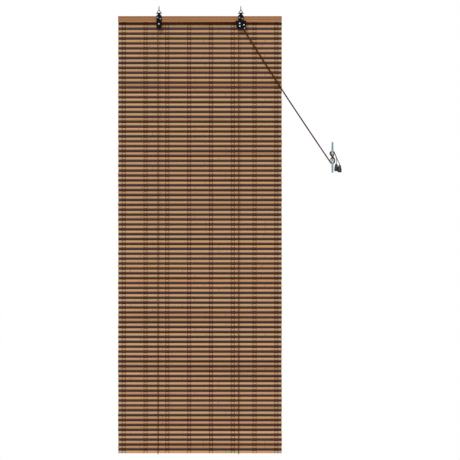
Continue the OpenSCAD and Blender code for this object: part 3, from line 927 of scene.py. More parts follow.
@dataclass
class SlatStock:
    """Slats of one kind, as patterns that differ in where their knuckles are.

    Attributes:
        kind: Light or dark.
        height: Height of a slat.
        crown: Height of the round front.
        length: Length of a slat.
        thickness: Depth of a slat at its crown.
        patterns: How many patterns there are.
        seed: Start of the random draws.
        bevel: Bevel of the back edges.
        front_shares: Places of the section's front points, from the top edge, 0, to the bottom edge, 1.
        bevel_edge_shade: Share of the painted edge shade on the bevels.
        back_edge_shade: Share of the painted edge shade on the back.
        spans: Stretches of even length along a slat.
        knuckle_half: Half the length of a knuckle.
        knuckle_swell: How far a knuckle stands out.
        first_knuckle: Least and greatest distance of the first knuckle from the end.
        knuckle_gap: Least and greatest distance from one knuckle to the next.
        bare_end: Length at the far end that has no knuckle.
    """

    kind: SlatKind
    height: float
    crown: float
    length: float = 0.6
    thickness: float = 0.003
    patterns: int = 16
    seed: int = 1100
    bevel: float = 0.0003
    front_shares: tuple[float, ...] = (0.0, 0.1, 0.3, 0.5, 0.7, 0.9, 1.0)
    bevel_edge_shade: float = 0.9
    back_edge_shade: float = 0.5
    spans: int = 8
    knuckle_half: float = 0.0024
    knuckle_swell: float = 0.00032
    first_knuckle: tuple[float, float] = (0.04, 0.2)
    knuckle_gap: tuple[float, float] = (0.17, 0.27)
    bare_end: float = 0.02

    def outline(self) -> list[tuple[float, float, float]]:
        """The slat's section from its top front edge round.

        Returns:
            Depth, height and painted edge shade of each point; the top is at height 0.
        """
        front = []
        for share in self.front_shares:
            # bow shapes the crown and is also the painted edge shade: 0 at the crown's middle, 1 at the
            # edges by the grooves.
            bow = (2 * share - 1) ** 2
            front.append((self.crown * bow, -self.height * share, bow))
        back = self.thickness
        edge = self.bevel
        # The bevels and the back take a share of the painted edge shade too.
        rear = [
            (back - edge, -self.height, self.bevel_edge_shade), (back, -self.height + edge, self.back_edge_shade),
            (back, -edge, self.back_edge_shade), (back - edge, 0.0, self.bevel_edge_shade),
        ]
        return front + rear

    def stations(self, draw: random.Random) -> list[tuple[float, float]]:
        """Places along the slat, and how much of a knuckle each one has.

        Args:
            draw: The source of random places.

        Returns:
            Place and knuckle share, in order.
        """
        half = self.length / 2
        found = [(-half + self.length * i / self.spans, 0.0) for i in range(self.spans + 1)]
        place = -half + draw.uniform(*self.first_knuckle)
        while place < half - self.bare_end:
            found += [(place - self.knuckle_half, 0.0), (place, 1.0), (place + self.knuckle_half, 0.0)]
            place += draw.uniform(*self.knuckle_gap)
        return sorted(found)

    def pattern(self, index: int) -> bpy.types.Object:
        """One slat with its own knuckles, its top edge at the origin.

        Args:
            index: Which of the patterns.

        Returns:
            The slat.
        """
        draw = random.Random(self.seed + int(self.kind.value) * self.patterns + index)
        outline = self.outline()
        shape = bmesh.new()
        knuckle = shape.verts.layers.float.new("knuckle")
        # The rim layer carries the painted edge shade; dull is that shade at each point of the section.
        rim = shape.verts.layers.float.new("rim")
        rings = []
        for x, share in self.stations(draw):
            ring = []
            for depth, height, dull in outline:
                swell = share * self.knuckle_swell * (1 if depth < self.thickness / 2 else 0)
                vert = shape.verts.new((x, depth - swell, height))
                vert[knuckle] = share
                vert[rim] = dull
                ring.append(vert)
            rings.append(ring)
        for near, far in zip(rings, rings[1:]):
            for i in range(len(outline)):
                j = (i + 1) % len(outline)
                shape.faces.new((near[i], near[j], far[j], far[i]))
        shape.faces.new(rings[0])
        shape.faces.new(reversed(rings[-1]))
        bmesh.ops.recalc_face_normals(shape, faces=shape.faces)
        mesh = bpy.data.meshes.new(f"slat_{self.kind.name.lower()}_{index}")
        shape.to_mesh(mesh)
        shape.free()
        return bpy.data.objects.new(mesh.name, mesh)

    def collection(self) -> bpy.types.Collection:
        """All patterns of this stock, outside the scene.

        Returns:
            The collection that holds them.
        """
        made = bpy.data.collections.new(f"slat_stock_{self.kind.name.lower()}")
        for index in range(self.patterns):
            made.objects.link(self.pattern(index))
        return made


@dataclass
class BambooMat:
    """The woven mat: slats in two stains, held by warp yarns.

    Attributes:
        rows: Pairs of one dark and one light slat.
        dark_height: Height of a dark slat.
        light_height: Height of a light slat.
        gap: Room between two slats.
        shade_overlap: How far a dark slat reaches up and down, over that room and its neighbours; this
            dark margin is painted shade of the gaps and of the light slats' edges.
        top: Height of the mat's top edge.
        front: Depth of the crowns' front.
        thickness: Depth of a light slat.
        dark_thickness: Depth of a dark slat.
        crown: Height of a slat's round front.
        half_spread: Half the distance between the two yarns of a pair.
        yarn_radius: Radius of a yarn.
        yarn_offset: How far a yarn shifts aside where it passes a slat.
        yarn_sides: Number of sides of a yarn.
        lacing_radius: Radius of the lacing yarn.
        lacing_depth: Depth of the lacing yarn behind the crowns' front.
        lacing_inset: Distance of the lacing yarn from a groove's middle, towards the light slat.
        column_xs: Places of the pairs of warp yarns.
        stagger: How far a slat may stand out of line sideways.
        tilt: How far a slat may be turned, in radians.
        bow: How far a slat may be bent.
        bow_waves: Bends to a metre of slat, and how far apart two slats' bends are drawn.
        wander: How far a yarn may stray sideways.
        wander_waves: Strays to a metre, along each axis.
        yarn_points: Points of a yarn for each slat that it passes.
        yarn_reach: Distance of those points, as a share of the slat's height.
        crossing: Depth where two yarns cross, as a share of a slat's thickness.
        seed: Start of the random draws.
    """

    rows: int = 89
    dark_height: float = 0.00715
    light_height: float = 0.0098
    gap: float = 0.0005
    shade_overlap: float = 0.0011
    top: float = -0.0403
    front: float = 0.00825
    thickness: float = 0.003
    dark_thickness: float = 0.0026
    crown: float = 0.00125
    half_spread: float = 0.0059
    yarn_radius: float = 0.00088
    yarn_offset: float = 0.0003
    yarn_sides: int = 6
    lacing_radius: float = 0.0005
    lacing_depth: float = 0.0006
    lacing_inset: float = 0.001
    column_xs: tuple[float, ...] = (0.04, 0.12, 0.2, 0.28)
    stagger: float = 0.0007
    tilt: float = 0.00015
    bow: float = 0.0008
    bow_waves: tuple[float, float] = (5.0, 80.0)
    wander: float = 0.0012
    wander_waves: Triple = (130.0, 0.0, 22.0)
    yarn_points: float = 4.0
    yarn_reach: float = 0.36
    crossing: float = 0.55
    seed: int = 5

    @property
    def pitch(self) -> float:
        """Distance from one dark slat to the next."""
        return self.dark_height + self.light_height + 2 * self.gap

    def slat_rows(self, tree: GeometryTree, kind: SlatKind, start: float, seed: int) -> Wire:
        """All slats of one kind, each with its own tone, shift and slight turn.

        Args:
            tree: The tree to build in.
            kind: Light or dark.
            start: Distance of the first slat below the mat's top.
            seed: Start of the random draws.

        Returns:
            The slats as instances.
        """
        label = kind.name.title() + " Slats"
        first = tree.join_axes(0.0, self.front, tree.given("Top") - start)
        step = tree.join_axes(0.0, 0.0, 0.0 - tree.given("Pitch"))
        line = tree.node(
            "GeometryNodeMeshLine", {"mode": "OFFSET"},
            {"Count": tree.given("Rows"), "Start Location": first, "Offset": step},
        )
        aside = tree.join_axes(tree.chance(-self.stagger, self.stagger, seed))
        spread = tree.node("GeometryNodeSetPosition", {}, {"Geometry": line, "Offset": aside})
        stock = tree.node(
            "GeometryNodeCollectionInfo", {},
            {"Collection": tree.given(label), "Separate Children": True, "Reset Children": True},
        )
        pick = tree.chance(0.0, SlatStock.patterns - 0.01, seed + 1).floor()
        turn = tree.join_axes(0.0, tree.chance(-self.tilt, self.tilt, seed + 2), 0.0)
        laid = tree.node(
            "GeometryNodeInstanceOnPoints", {},
            {"Points": spread, "Instance": stock, "Pick Instance": True, "Instance Index": pick,
             "Rotation": turn},
        )
        toned = tree.store(laid, "tone", tree.chance(0.0, 1.0, seed + 3), "INSTANCE")
        shifted = tree.store(toned, "shift", tree.chance(0.0, 1.0, seed + 4), "INSTANCE")
        return tree.store(shifted, "stain", kind.value, "INSTANCE")

    def slats(self) -> bpy.types.Object:
        """The slats, slightly bowed along their length.

        Returns:
            One mesh.
        """
        tree = GeometryTree("bamboo_slats", "Rows", "Top", "Pitch", "Bow", "Dark Slats", "Light Slats")
        # Dark slats start above their own top and reach below their bottom, so their margins are painted
        # shade over the gaps and the light slats' edges.
        dark = self.slat_rows(tree, SlatKind.DARK, -self.shade_overlap, self.seed)
        light = self.slat_rows(tree, SlatKind.LIGHT, self.dark_height + self.gap, self.seed + 10)
        both = tree.realized(tree.joined((dark, light)))
        x, _, _ = tree.split_axes(tree.node("GeometryNodeInputPosition"))
        along, apart = self.bow_waves
        path = tree.join_axes(x * along, tree.number("shift") * apart, 0.0)
        bent = tree.swayed(path, 1.0, (0.0, 1.0, 0.2))
        tree.end(tree.pushed(both, bent, tree.given("Bow")), SLAT_CREASE)
        # The dark stock is made taller by both margins of painted shade.
        stocks = {
            "Dark Slats": SlatStock(
                SlatKind.DARK, self.dark_height + 2 * self.shade_overlap, self.crown,
                thickness=self.dark_thickness,
            ).collection(),
            "Light Slats": SlatStock(SlatKind.LIGHT, self.light_height, self.crown).collection(),
        }
        made = tree.bake("bamboo_slats", {
            "Rows": self.rows, "Top": self.top, "Pitch": self.pitch, "Bow": self.bow,
            "Material": BAMBOO.material(), **stocks,
        })
        for stock in stocks.values():
            for pattern in list(stock.objects):
                bpy.data.meshes.remove(pattern.data)
            bpy.data.collections.remove(stock)
        return made

    def slat_edge(self, tree: GeometryTree, slat: Wire) -> tuple[Wire, Wire]:
        """Finds a slat by its number.

        Args:
            tree: The tree to build in.
            slat: The slat's number, from 0 at the top.

        Returns:
            0 for a dark slat and 1 for a light one, and the height of its top edge.
        """
        pair = (slat / 2.0).floor()
        light = slat - pair * 2.0
        top = tree.given("Top") - pair * self.pitch - light * (self.dark_height + self.gap)
        return light, top

    def yarn_path(self, tree: GeometryTree, leads: bool) -> Wire:
        """One yarn from the mat's top to its bottom, in front of every other slat and behind the rest.

        Args:
            tree: The tree to build in.
            leads: Whether it is the yarn that passes behind the first slat.

        Returns:
            The yarn's middle line as a curve at X 0.
        """
        steps = self.yarn_points
        index = tree.node("GeometryNodeInputIndex")
        slat = (index / steps).floor()
        phase = index - slat * steps
        light, top = self.slat_edge(tree, slat)
        height = light * (self.light_height - self.dark_height) + self.dark_height
        between = phase.apply("LESS_THAN", 0.5)
        share = (phase - 2.0) * self.yarn_reach + 0.5
        z = top + between * (self.gap / 2) - (1.0 - between) * height * share
        before = light if leads else 1.0 - light
        swell = (share * 2.0 - 1.0) ** 2.0
        front = swell * self.crown + self.front
        back = self.front + self.thickness
        over = before * front + (1.0 - before) * back
        y = between * (self.front + self.thickness * self.crossing) + (1.0 - between) * over
        x = (1.0 - between) * (before * 2.0 - 1.0) * self.yarn_offset
        return tree.plotted(tree.given("Rows") * (2.0 * steps) + 1.0, x, y, z)

    def lacing_path(self, tree: GeometryTree) -> Wire:
        """A yarn that crosses a pair in each groove and passes behind the slats in between.

        Args:
            tree: The tree to build in.

        Returns:
            The yarn's middle line as a curve, with the pair's middle at X 0.
        """
        steps = self.yarn_points
        index = tree.node("GeometryNodeInputIndex")
        groove = (index / steps).floor()
        phase = index - groove * steps - 1.5
        light, top = self.slat_edge(tree, groove + 1.0)
        way = 1.0 - light * 2.0
        z = top + way * self.lacing_inset + self.gap / 2
        ahead = phase.apply("ABSOLUTE").apply("LESS_THAN", 1.0)
        y = ahead * (self.lacing_depth - self.thickness) + (self.front + self.thickness)
        x = way * phase.apply("SIGN") * self.half_spread
        return tree.plotted((tree.given("Rows") * 2.0 - 1.0) * steps, x, y, z)

    def yarns(self, name: str, side: int) -> bpy.types.Object:
        """The warp yarns of one half of the mat.

        Args:
            name: The piece's name.
            side: -1 for the left half and 1 for the right.

        Returns:
            One mesh.
        """
        tree = GeometryTree(name, "Rows", "Top", "Yarn Radius", "Lacing Radius", "Wander")
        pairs = [
            round_tube(tree, self.yarn_path(tree, leads), tree.given("Yarn Radius"), self.yarn_sides)
            for leads in (True, False)
        ]
        column = tree.joined(pairs)
        lacing = round_tube(tree, self.lacing_path(tree), tree.given("Lacing Radius"), self.yarn_sides)
        columns = []
        for x in self.column_xs:
            spots = [(lacing, 0.0), (column, -self.half_spread), (column, self.half_spread)]
            for geometry, aside in spots:
                inputs = {"Geometry": geometry, "Translation": (side * x + aside, 0.0, 0.0)}
                columns.append(tree.node("GeometryNodeTransform", {}, inputs))
        every = tree.realized(tree.joined(columns))
        path = tree.vector("MULTIPLY", tree.node("GeometryNodeInputPosition"), self.wander_waves)
        aside = tree.swayed(path, 2.0, (1.0, 0.0, 0.0))
        tree.end(tree.pushed(every, aside, tree.given("Wander")), YARN_CREASE)
        return tree.bake(name, {
            "Rows": self.rows, "Top": self.top, "Yarn Radius": self.yarn_radius,
            "Lacing Radius": self.lacing_radius, "Wander": self.wander, "Material": YARN.material(),
        })

    def build(self) -> None:
        """Makes the slats and yarns in place of the CAD mat and threads."""
        settle(self.slats(), ROOT_BODY, "bamboo", "bamboo_mat")
        for name, side in (("warp_yarns_left", -1), ("warp_yarns_right", 1)):
            settle(self.yarns(name, side), ROOT_BODY, "warp_thread", "warp_threads")


# The cords

CLEAT_AT = (0.486, 0.0, -0.552)
BOTTOM_TURN = (
    (0.0, 0.004, 0.0003), (0.0, 0.00285, -0.0025), (0.0, 0.0, -0.0037),
    (0.0, -0.00285, -0.0025), (0.0, -0.004, 0.0003),
)
LEFT_TURN = ((-0.004, 0.0, 0.0), (-0.0035, 0.0, 0.002), (-0.002, 0.0, 0.0035), (0.0, 0.0, 0.004))
UPPER_TURN = ((0.0, 0.0, 0.004), (0.0021, 0.0, 0.0034), (0.0036, 0.0, 0.0018))
LOWER_TURN = (
    (-0.004, 0.0, 0.0), (-0.0033, 0.0, 0.0023), (-0.0013, 0.0, 0.0038),
    (0.0012, 0.0, 0.0038), (0.0034, 0.0, 0.0022),
)
LOCK_EXIT = ((0.0143, 0.0002, -0.0189),)
LEFT_WIND = (
    (-0.0049, 0.0138, -0.0187), (-0.0026, 0.014, -0.0208), (0.0006, 0.014, -0.0214),
    (0.0036, 0.0134, -0.0202), (0.0059, 0.0115, -0.017), (0.007, 0.008, -0.013),
    (0.007, 0.0046, -0.009), (0.0059, 0.00145, -0.0058), (0.003, 0.0006, -0.0025),
    (-0.003, 0.0006, 0.0044), (-0.0064, 0.0015, 0.0074), (-0.0086, 0.005, 0.011),
    (-0.0096, 0.009, 0.0146), (-0.008, 0.0124, 0.019), (-0.0042, 0.014, 0.0225),
    (0.0, 0.014, 0.0236), (0.004, 0.0132, 0.0225), (0.007, 0.0114, 0.0194),
    (0.009, 0.0096, 0.0144), (0.012, 0.0081, 0.005), (0.0148, 0.0075, -0.004),
    (0.0159, 0.0075, -0.0106), (0.0153, 0.0075, -0.017),
)
RIGHT_WIND = (
    (-0.0068, 0.0138, -0.0199), (-0.0036, 0.014, -0.0228), (0.0008, 0.014, -0.0236),
    (0.005, 0.0134, -0.0219), (0.008, 0.011, -0.0175), (0.0092, 0.0075, -0.0125),
    (0.0088, 0.004, -0.0076), (0.007, 0.0016, -0.0036), (0.0044, 0.0006, -0.0002),
    (-0.004, 0.0006, 0.0093), (-0.0059, 0.0019, 0.0116), (-0.0064, 0.005, 0.014),
    (-0.006, 0.009, 0.0165), (-0.0046, 0.0125, 0.0192), (-0.0024, 0.0139, 0.0209),
    (0.0006, 0.014, 0.0214), (0.0034, 0.0132, 0.0203), (0.0057, 0.011, 0.0176),
    (0.0062, 0.0075, 0.014), (0.0059, 0.003, 0.0106), (0.005, 0.0002, 0.0076),
    (0.003, -0.0015, 0.0046), (0.0, -0.002, 0.001), (-0.0042, -0.0012, -0.0022),
    (-0.0072, 0.0012, -0.0054), (-0.0086, 0.0044, -0.0094), (-0.0084, 0.008, -0.0138),
    (-0.0068, 0.0106, -0.0184), (-0.0036, 0.0112, -0.0215), (0.0, 0.0113, -0.0225),
    (0.0036, 0.0108, -0.0215), (0.0064, 0.0086, -0.0186), (0.0082, 0.005, -0.0145),
    (0.0086, 0.002, -0.01), (0.007, -0.0008, -0.0055), (0.0024, -0.0043, 0.0002),
    (-0.0005, -0.0044, 0.0034), (-0.0058, -0.0004, 0.0094), (-0.0088, 0.003, 0.0126),
    (-0.0092, 0.0066, 0.0156), (-0.007, 0.0096, 0.0188), (-0.0038, 0.011, 0.0215),
    (0.0, 0.0113, 0.0225), (0.0036, 0.0106, 0.0215), (0.0064, 0.0084, 0.0188),
    (0.009, 0.0056, 0.014), (0.0116, 0.0032, 0.0076), (0.0172, -0.0004, -0.0066),
    (0.022, -0.0032, -0.017), (0.025, -0.0042, -0.0228),
)


def moved(points: Sequence[Triple], by: Triple) -> list[Vector]:
    """The points of a route, set at a place."""
    return [Vector(p) + Vector(by) for p in points]


def slack(route: Sequence[Vector], onward: Sequence[Vector], drop: float = 0.006) -> list[Vector]:
    """A route and the one after it, with a point between them where the cord hangs a little slack."""
    halfway = (route[-1] + onward[0]) / 2 - Vector((0.0, 0.0, drop))
    return [*route, halfway, *onward]


def smooth_line(route: Sequence[Vector], step: float = 0.02, least: int = 5) -> list[Vector]:
    """A smooth line through the points of a route, straight where the route is.

    Args:
        route: The route's points.
        step: Longest distance between two points of the line.
        least: Points in a short stretch.

    Returns:
        The line's points.
    """
    last = len(route) - 1
    heads = []
    for i, point in enumerate(route):
        onward = (route[i + 1] - point).normalized() if i < last else Vector()
        behind = (point - route[i - 1]).normalized() if i else Vector()
        heads.append((onward + behind).normalized())
    line = []
    for i in range(last):
        start, end = route[i], route[i + 1]
        span = (end - start).length
        before = (start - route[i - 1]).length if i else span
        beyond = (route[i + 2] - end).length if i + 2 <= last else span
        out = start + heads[i] * min(span, before) / 3
        back = end - heads[i + 1] * min(span, beyond) / 3
        count = max(least, math.ceil(span / step))
        for k in range(count):
            t = k / count
            u = 1 - t
            line.append(u**3 * start + 3 * u * u * t * out + 3 * u * t * t * back + t**3 * end)
    return [*line, route[last]]


@dataclass
class CordSheath:
    """Braided cord, as a tree that any line is swept with.

    Attributes:
        radius: Radius of the cord.
        sides: Number of sides of the tube.
        ring: Distance between two rings of the tube.
        lobes: Strands each way round the cord.
        pitch: Length of one turn of a strand.
        relief: How far the strands stand out.
        mean_rise: Height of the strands' wave that lies on the radius, from -1 to 1.
        tree: The tree, which is made with the sheath.
    """

    radius: float = 0.0013
    sides: int = 12
    ring: float = 0.0013
    lobes: float = BRAID_LOBES
    pitch: float = BRAID_PITCH
    relief: float = 0.0002
    mean_rise: float = 0.6
    tree: GeometryTree = field(init=False)

    def __post_init__(self) -> None:
        """Builds the tree."""
        tree = GeometryTree("cord_sheath", "Line", "Radius", "Ring", "Relief", "Pitch")
        line = tree.node("GeometryNodeObjectInfo", {}, {"Object": tree.given("Line")}, "Geometry")
        inputs = {"Curve": line, "Length": tree.given("Ring")}
        even = tree.node("GeometryNodeResampleCurve", {"mode": "LENGTH"}, inputs)
        tube = round_tube(tree, even, tree.given("Radius"), self.sides)
        turn = tree.number("turn_sin").apply("ARCTAN2", tree.number("turn_cos")) * self.lobes
        run = tree.number("along") * math.tau / tree.given("Pitch")
        strand = (turn + run).sine().apply("MAXIMUM", (turn - run).sine())
        rise = (strand - self.mean_rise) * tree.given("Relief")
        tree.end(tree.pushed(tube, tree.node("GeometryNodeInputNormal"), rise), CORD_CREASE)
        self.tree = tree

    def sweep(self, name: str, line: Sequence[Vector], closed: bool = False) -> bpy.types.Object:
        """Makes cord along a line.

        Args:
            name: The piece's name.
            line: The cord's middle.
            closed: Whether the line ends where it starts.

        Returns:
            The cord as one mesh.
        """
        curve = bpy.data.curves.new(name + "_line", "CURVE")
        curve.dimensions = "3D"
        spline = curve.splines.new("POLY")
        spline.points.add(len(line) - 1)
        for point, place in zip(spline.points, line):
            point.co = (*place, 1.0)
        spline.use_cyclic_u = closed
        guide = link(bpy.data.objects.new(curve.name, curve))
        made = self.tree.bake(name, {
            "Line": guide, "Radius": self.radius, "Ring": self.ring, "Relief": self.relief,
            "Pitch": self.pitch, "Material": CORD.material(),
        })
        bpy.data.objects.remove(guide)
        bpy.data.curves.remove(curve)
        return made


@dataclass
class BellEnd:
    """A bell on a cord's end, and the knot inside it.

    Attributes:
        top: The bell's top middle, from the cleat's middle.
        lean: The bell's lean, in degrees.
        crown: Depth of the hollow's ceiling below the top.
        lead: Length of cord that runs straight into the top.
        knot_drop: Distance of the knot's middle below the ceiling.
    """

    top: Triple
    lean: float
    crown: float = 0.007
    lead: float = 0.002
    knot_drop: float = 0.0014

    @property
    def axis(self) -> Vector:
        """The direction down the bell."""
        lean = math.radians(self.lean)
        return Vector((-math.sin(lean), 0.0, -math.cos(lean)))

    def at(self, depth: float) -> Vector:
        """The point of the bell's axis at a depth below its top."""
        return Vector(CLEAT_AT) + Vector(self.top) + self.axis * depth

    def entry(self) -> list[Vector]:
        """The cord's last two points, down the bell's axis."""
        return [self.at(-self.lead), self.at(self.crown)]


def knot_line(
    middle: Vector, axis: Vector, size: float = 0.00052, rise: float = 1.7, steps: int = 48
) -> list[Vector]:
    """A tight overhand knot's line.

    Args:
        middle: The knot's middle.
        axis: The direction of the cord that it is in.
        size: A third of the line's largest radius.
        rise: Height of the knot's crossings, in sizes.
        steps: Points in the line.

    Returns:
        The closed line's points.
    """
    turn = Vector((0.0, 0.0, 1.0)).rotation_difference(axis).to_matrix()
    line = []
    for k in range(steps):
        t = math.tau * k / steps
        spot = Vector((
            math.sin(t) + 2 * math.sin(2 * t), math.cos(t) - 2 * math.cos(2 * t), -rise * math.sin(3 * t)
        ))
        line.append(middle + turn @ (spot * size))
    return line


@dataclass
class LiftCord:
    """One lift cord, from the back of the rail to its bell.

    Attributes:
        name: The piece's name.
        node: The CAD node that it stands for.
        run_x: Where it runs down the mat.
        front: Its points from the sheave to the bell's mouth.
        bell: Its bell.
        bell_node: The bell's CAD node; not used.
        knot_node: The CAD node of the bell's knot.
        length: Its real length; not used.
        diameter: Its diameter; not used.
        back_y: Depth of its run behind the rail.
        start_z: Height of its upper end.
        staple_z: Height of the staple that holds it; not used.
        rail_bottom: Height of the rail's bottom edge.
        mat_mid: Depth of the mat's middle.
        mat_bottom: Height of the mat's bottom edge.
    """

    name: str
    node: str
    run_x: float
    front: list[Vector]
    bell: BellEnd
    bell_node: str
    knot_node: str
    length: float
    diameter: float = 0.0026
    back_y: float = 0.0131
    start_z: float = -0.0393
    staple_z: float = -0.0477
    rail_bottom: float = -0.0559
    mat_mid: float = 0.00975
    mat_bottom: float = -1.63735

    def line(self) -> list[Vector]:
        """The cord's middle line, from behind the rail to its bell.

        Returns:
            The line's points.
        """
        start = [Vector((self.run_x, self.back_y, z)) for z in (self.start_z, self.rail_bottom)]
        under = moved(BOTTOM_TURN, (self.run_x, self.mat_mid, self.mat_bottom))
        return smooth_line([*start, *under, *self.front, *self.bell.entry()])

    def build(self, sheath: CordSheath, nodes: dict[str, bpy.types.Object]) -> None:
        """Args:
            sheath: The braid.
            nodes: The frame's CAD nodes; not used.
        """
        line = self.line()
        cord = settle(sheath.sweep(self.name, line), ROOT_BODY, "lift_cord", self.node)
        middle = self.bell.at(self.bell.crown + self.bell.knot_drop)
        tied = sheath.sweep(self.knot_node + "_tied", knot_line(middle, self.bell.axis), True)
        knot = settle(tied, ROOT_BODY, "lift_cord", self.knot_node)
        measured = sum((b - a).length for a, b in zip(line, line[1:]))
        LOG.info("%s: %.3f m long", self.name, measured)


@dataclass
class LiftCords:
    """Both lift cords and the knots at their upper ends.

    Attributes:
        sheave_y: Depth of the sheaves' middles.
        left_pivot: Place of the left sheave.
        upper_pivot: Place of the right bracket's upper sheave.
        lower_pivot: Place of the right bracket's lower sheave.
        run_xs: Where the cords run down the mat.
        knot_rise: Height of an upper knot's middle above the cord's end.
    """

    sheave_y: float = -0.00825
    left_pivot: tuple[float, float] = (-0.15, -0.0635)
    upper_pivot: tuple[float, float] = (0.1455, -0.0616)
    lower_pivot: tuple[float, float] = (0.146, -0.0717)
    run_xs: tuple[float, float] = (-0.154, 0.142)
    knot_rise: float = 0.0013

    def pivot(self, spot: tuple[float, float]) -> Triple:
        """A sheave's middle."""
        return (spot[0], self.sheave_y, spot[1])

    def build(self, nodes: dict[str, bpy.types.Object]) -> None:
        """Makes both cords in place of their CAD solids.

        Args:
            nodes: The frame's CAD nodes.
        """
        sheath = CordSheath()
        upper = self.pivot(self.upper_pivot)
        left_over = [
            *moved(LEFT_TURN, self.pivot(self.left_pivot)), *moved(UPPER_TURN, upper),
            *moved(LOCK_EXIT, upper),
        ]
        left_front = slack(left_over, moved(LEFT_WIND, CLEAT_AT))
        right_over = moved(LOWER_TURN, self.pivot(self.lower_pivot))
        right_front = slack(right_over, moved(RIGHT_WIND, CLEAT_AT))
        left = LiftCord(
            "left_cord", "left_lift_cord", self.run_xs[0], left_front,
            BellEnd((0.0143, 0.0075, -0.0234), 0.0), "left_bell", "left_bell_knot", 4.23,
        )
        right = LiftCord(
            "right_cord", "right_lift_cord", self.run_xs[1], right_front,
            BellEnd((0.0263, -0.0045, -0.028), 1.5), "right_bell", "right_bell_knot", 4.07,
        )
        for cord in (left, right):
            cord.build(sheath, nodes)
        self.upper_knots(sheath, left)

    def upper_knots(self, sheath: CordSheath, cord: LiftCord) -> None:
        """Makes the knots above the staples on the back of the rail, as one piece.

        Args:
            sheath: The braid.
            cord: A cord, for the height and depth of its upper end.
        """
        tied = []
        for x in self.run_xs:
            middle = Vector((x, cord.back_y, cord.start_z + self.knot_rise))
            line = knot_line(middle, Vector((0.0, 0.0, 1.0)))
            tied.append(sheath.sweep(f"upper_knot_{len(tied)}", line, True))
        settle(merged("upper_cord_knots", tied), ROOT_BODY, "lift_cord", "cord_knots")


# CAD nodes that keep their shape


@dataclass(frozen=True)
class Dressing:
    """A finish for CAD nodes that keep their shape.

    Attributes:
        finish: The finish.
        nodes: The nodes' names.
    """

    finish: Finish
    nodes: tuple[str, ...]

    def apply(self, nodes: dict[str, bpy.types.Object]) -> None:
        """Puts the finish on the nodes.

        Args:
            nodes: The frame's CAD nodes.
        """
        for name in self.nodes:
            mesh = nodes[name].data
            mesh.materials.clear()
            mesh.materials.append(self.finish.material())
            LOG.info("%s: %s", name, self.finish.name)


DRESSINGS = (
    Dressing(RAIL_WOOD, ("head_rail",)),
    Dressing(BLACK_PLATE, (
        "left_rear_plate", "left_front_plate", "right_rear_plate", "right_front_plate",
    )),
    Dressing(GLINT_PAINTED_RIVET, (
        "left_sheave_rivet", "upper_sheave_rivet", "lower_sheave_rivet", "lock_cam_rivet",
    )),
    Dressing(SCREW_STEEL, ("left_plate_screws", "right_plate_screws")),
    Dressing(HOOK_WIRE, ("left_hook", "right_hook")),
    Dressing(STAPLE_WIRE, ("mat_staples", "cord_staples")),
    Dressing(CAM_METAL, ("lock_cam", "guide_post")),
    Dressing(SHEAVE_PLASTIC, ("left_sheave", "upper_sheave", "lower_sheave")),
    Dressing(BELL_PLASTIC, ("left_bell", "right_bell")),
    Dressing(CLEAT_ENAMEL, ("cleat",)),
)


# The studio


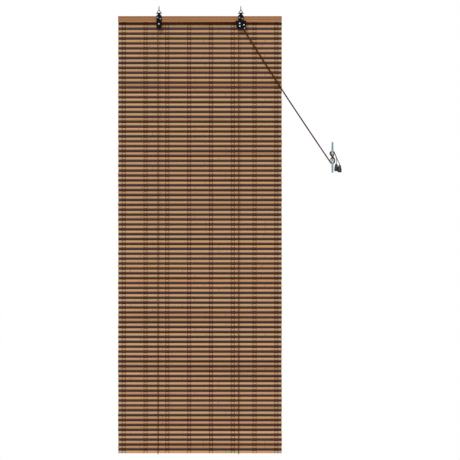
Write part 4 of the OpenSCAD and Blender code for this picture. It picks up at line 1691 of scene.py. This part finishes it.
@dataclass
class Studio:
    """Camera, floor and light.

    Attributes:
        centre: The point in the middle of the picture.
        view_width: Width of what the picture shows at that point.
        lens: Focal length in millimetres.
        sensor: Width of the sensor in millimetres.
        far_clip: Farthest distance that the camera sees.
        floor_z: Height of the floor.
        floor_radius: Radius of the floor, which ends below the picture.
        floor_sides: Sides of the floor's rim.
        sky: Strength of the sky's light.
        sun: Strength of the key in front.
        sun_angle: How soft both lamps are, in degrees.
        sun_from: The direction that the key's light comes from.
        fill: Strength of the fill behind.
        fill_from: The direction that the fill's light comes from.
    """

    centre: Triple = (0.1102, 0.008, -0.8182)
    view_width: float = 1.688
    lens: float = 200.0
    sensor: float = 36.0
    far_clip: float = 100.0
    floor_z: float = -2.05
    floor_radius: float = 4.0
    floor_sides: int = 96
    sky: float = 0.5
    sun: float = 1.93
    sun_angle: float = 30.0
    sun_from: Triple = (-0.35, -1.0, 0.7)
    fill: float = 1.35
    fill_from: Triple = (0.35, 1.0, 0.6)

    def camera(self) -> None:
        """Sets the camera square in front of the blind."""
        data = bpy.data.cameras.new("camera")
        data.type = "PERSP"
        data.lens = self.lens
        data.sensor_width = self.sensor
        data.clip_end = self.far_clip
        camera = link(bpy.data.objects.new("camera", data))
        distance = self.view_width * self.lens / self.sensor
        camera.location = Vector(self.centre) - Vector((0.0, distance, 0.0))
        camera.rotation_euler = (math.pi / 2, 0.0, 0.0)
        bpy.context.scene.camera = camera

    def floor(self) -> None:
        """Lays a round floor well below the blind."""
        shape = bmesh.new()
        spot = Matrix.Translation((0.0, 0.0, self.floor_z))
        bmesh.ops.create_circle(
            shape, cap_ends=True, radius=self.floor_radius, segments=self.floor_sides, matrix=spot
        )
        mesh = bpy.data.meshes.new("floor")
        shape.to_mesh(mesh)
        shape.free()
        mesh.materials.append(FLOOR.material())
        link(bpy.data.objects.new("floor", mesh))

    def lamp(self, name: str, energy: float, origin: Triple) -> None:
        """Adds a soft lamp.

        Args:
            name: The lamp's name.
            energy: Its strength.
            origin: The direction that its light comes from.
        """
        data = bpy.data.lights.new(name, "SUN")
        data.energy = energy
        data.angle = math.radians(self.sun_angle)
        lamp = link(bpy.data.objects.new(name, data))
        lamp.rotation_euler = Vector(origin).to_track_quat("Z", "Y").to_euler()

    def light(self) -> None:
        """Sets a key in front, a fill behind, and a pale sky that is white where the camera sees it."""
        self.lamp("key", self.sun, self.sun_from)
        self.lamp("fill", self.fill, self.fill_from)
        world = bpy.data.worlds.new("studio")
        world.use_nodes = True
        bpy.context.scene.world = world
        graph = Graph(world.node_tree)
        path = graph.node("ShaderNodeLightPath", {}, {}, "Is Camera Ray")
        seen = path.apply("MAXIMUM", path.out("Is Glossy Ray"))
        seen = seen.apply("MAXIMUM", path.out("Is Transmission Ray"))
        strength = seen * (1.0 - self.sky) + self.sky
        white = {"Color": (1.0, 1.0, 1.0, 1.0), "Strength": strength}
        sky = graph.node("ShaderNodeBackground", {}, white)
        graph.node("ShaderNodeOutputWorld", {}, {"Surface": sky})

    def build(self) -> None:
        """Sets up the whole studio."""
        bpy.context.scene.view_settings.view_transform = "Standard"
        self.camera()
        self.floor()
        self.light()


def main() -> None:
    """Builds the pieces in order."""
    logging.basicConfig(level=logging.INFO, format="%(name)s: %(message)s")
    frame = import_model()
    nodes = frame["nodes"]
    Studio().build()
    LiftCords().build(nodes)
    BambooMat().build()
    for dressing in DRESSINGS:
        dressing.apply(nodes)


if __name__ == "__main__":
    main()
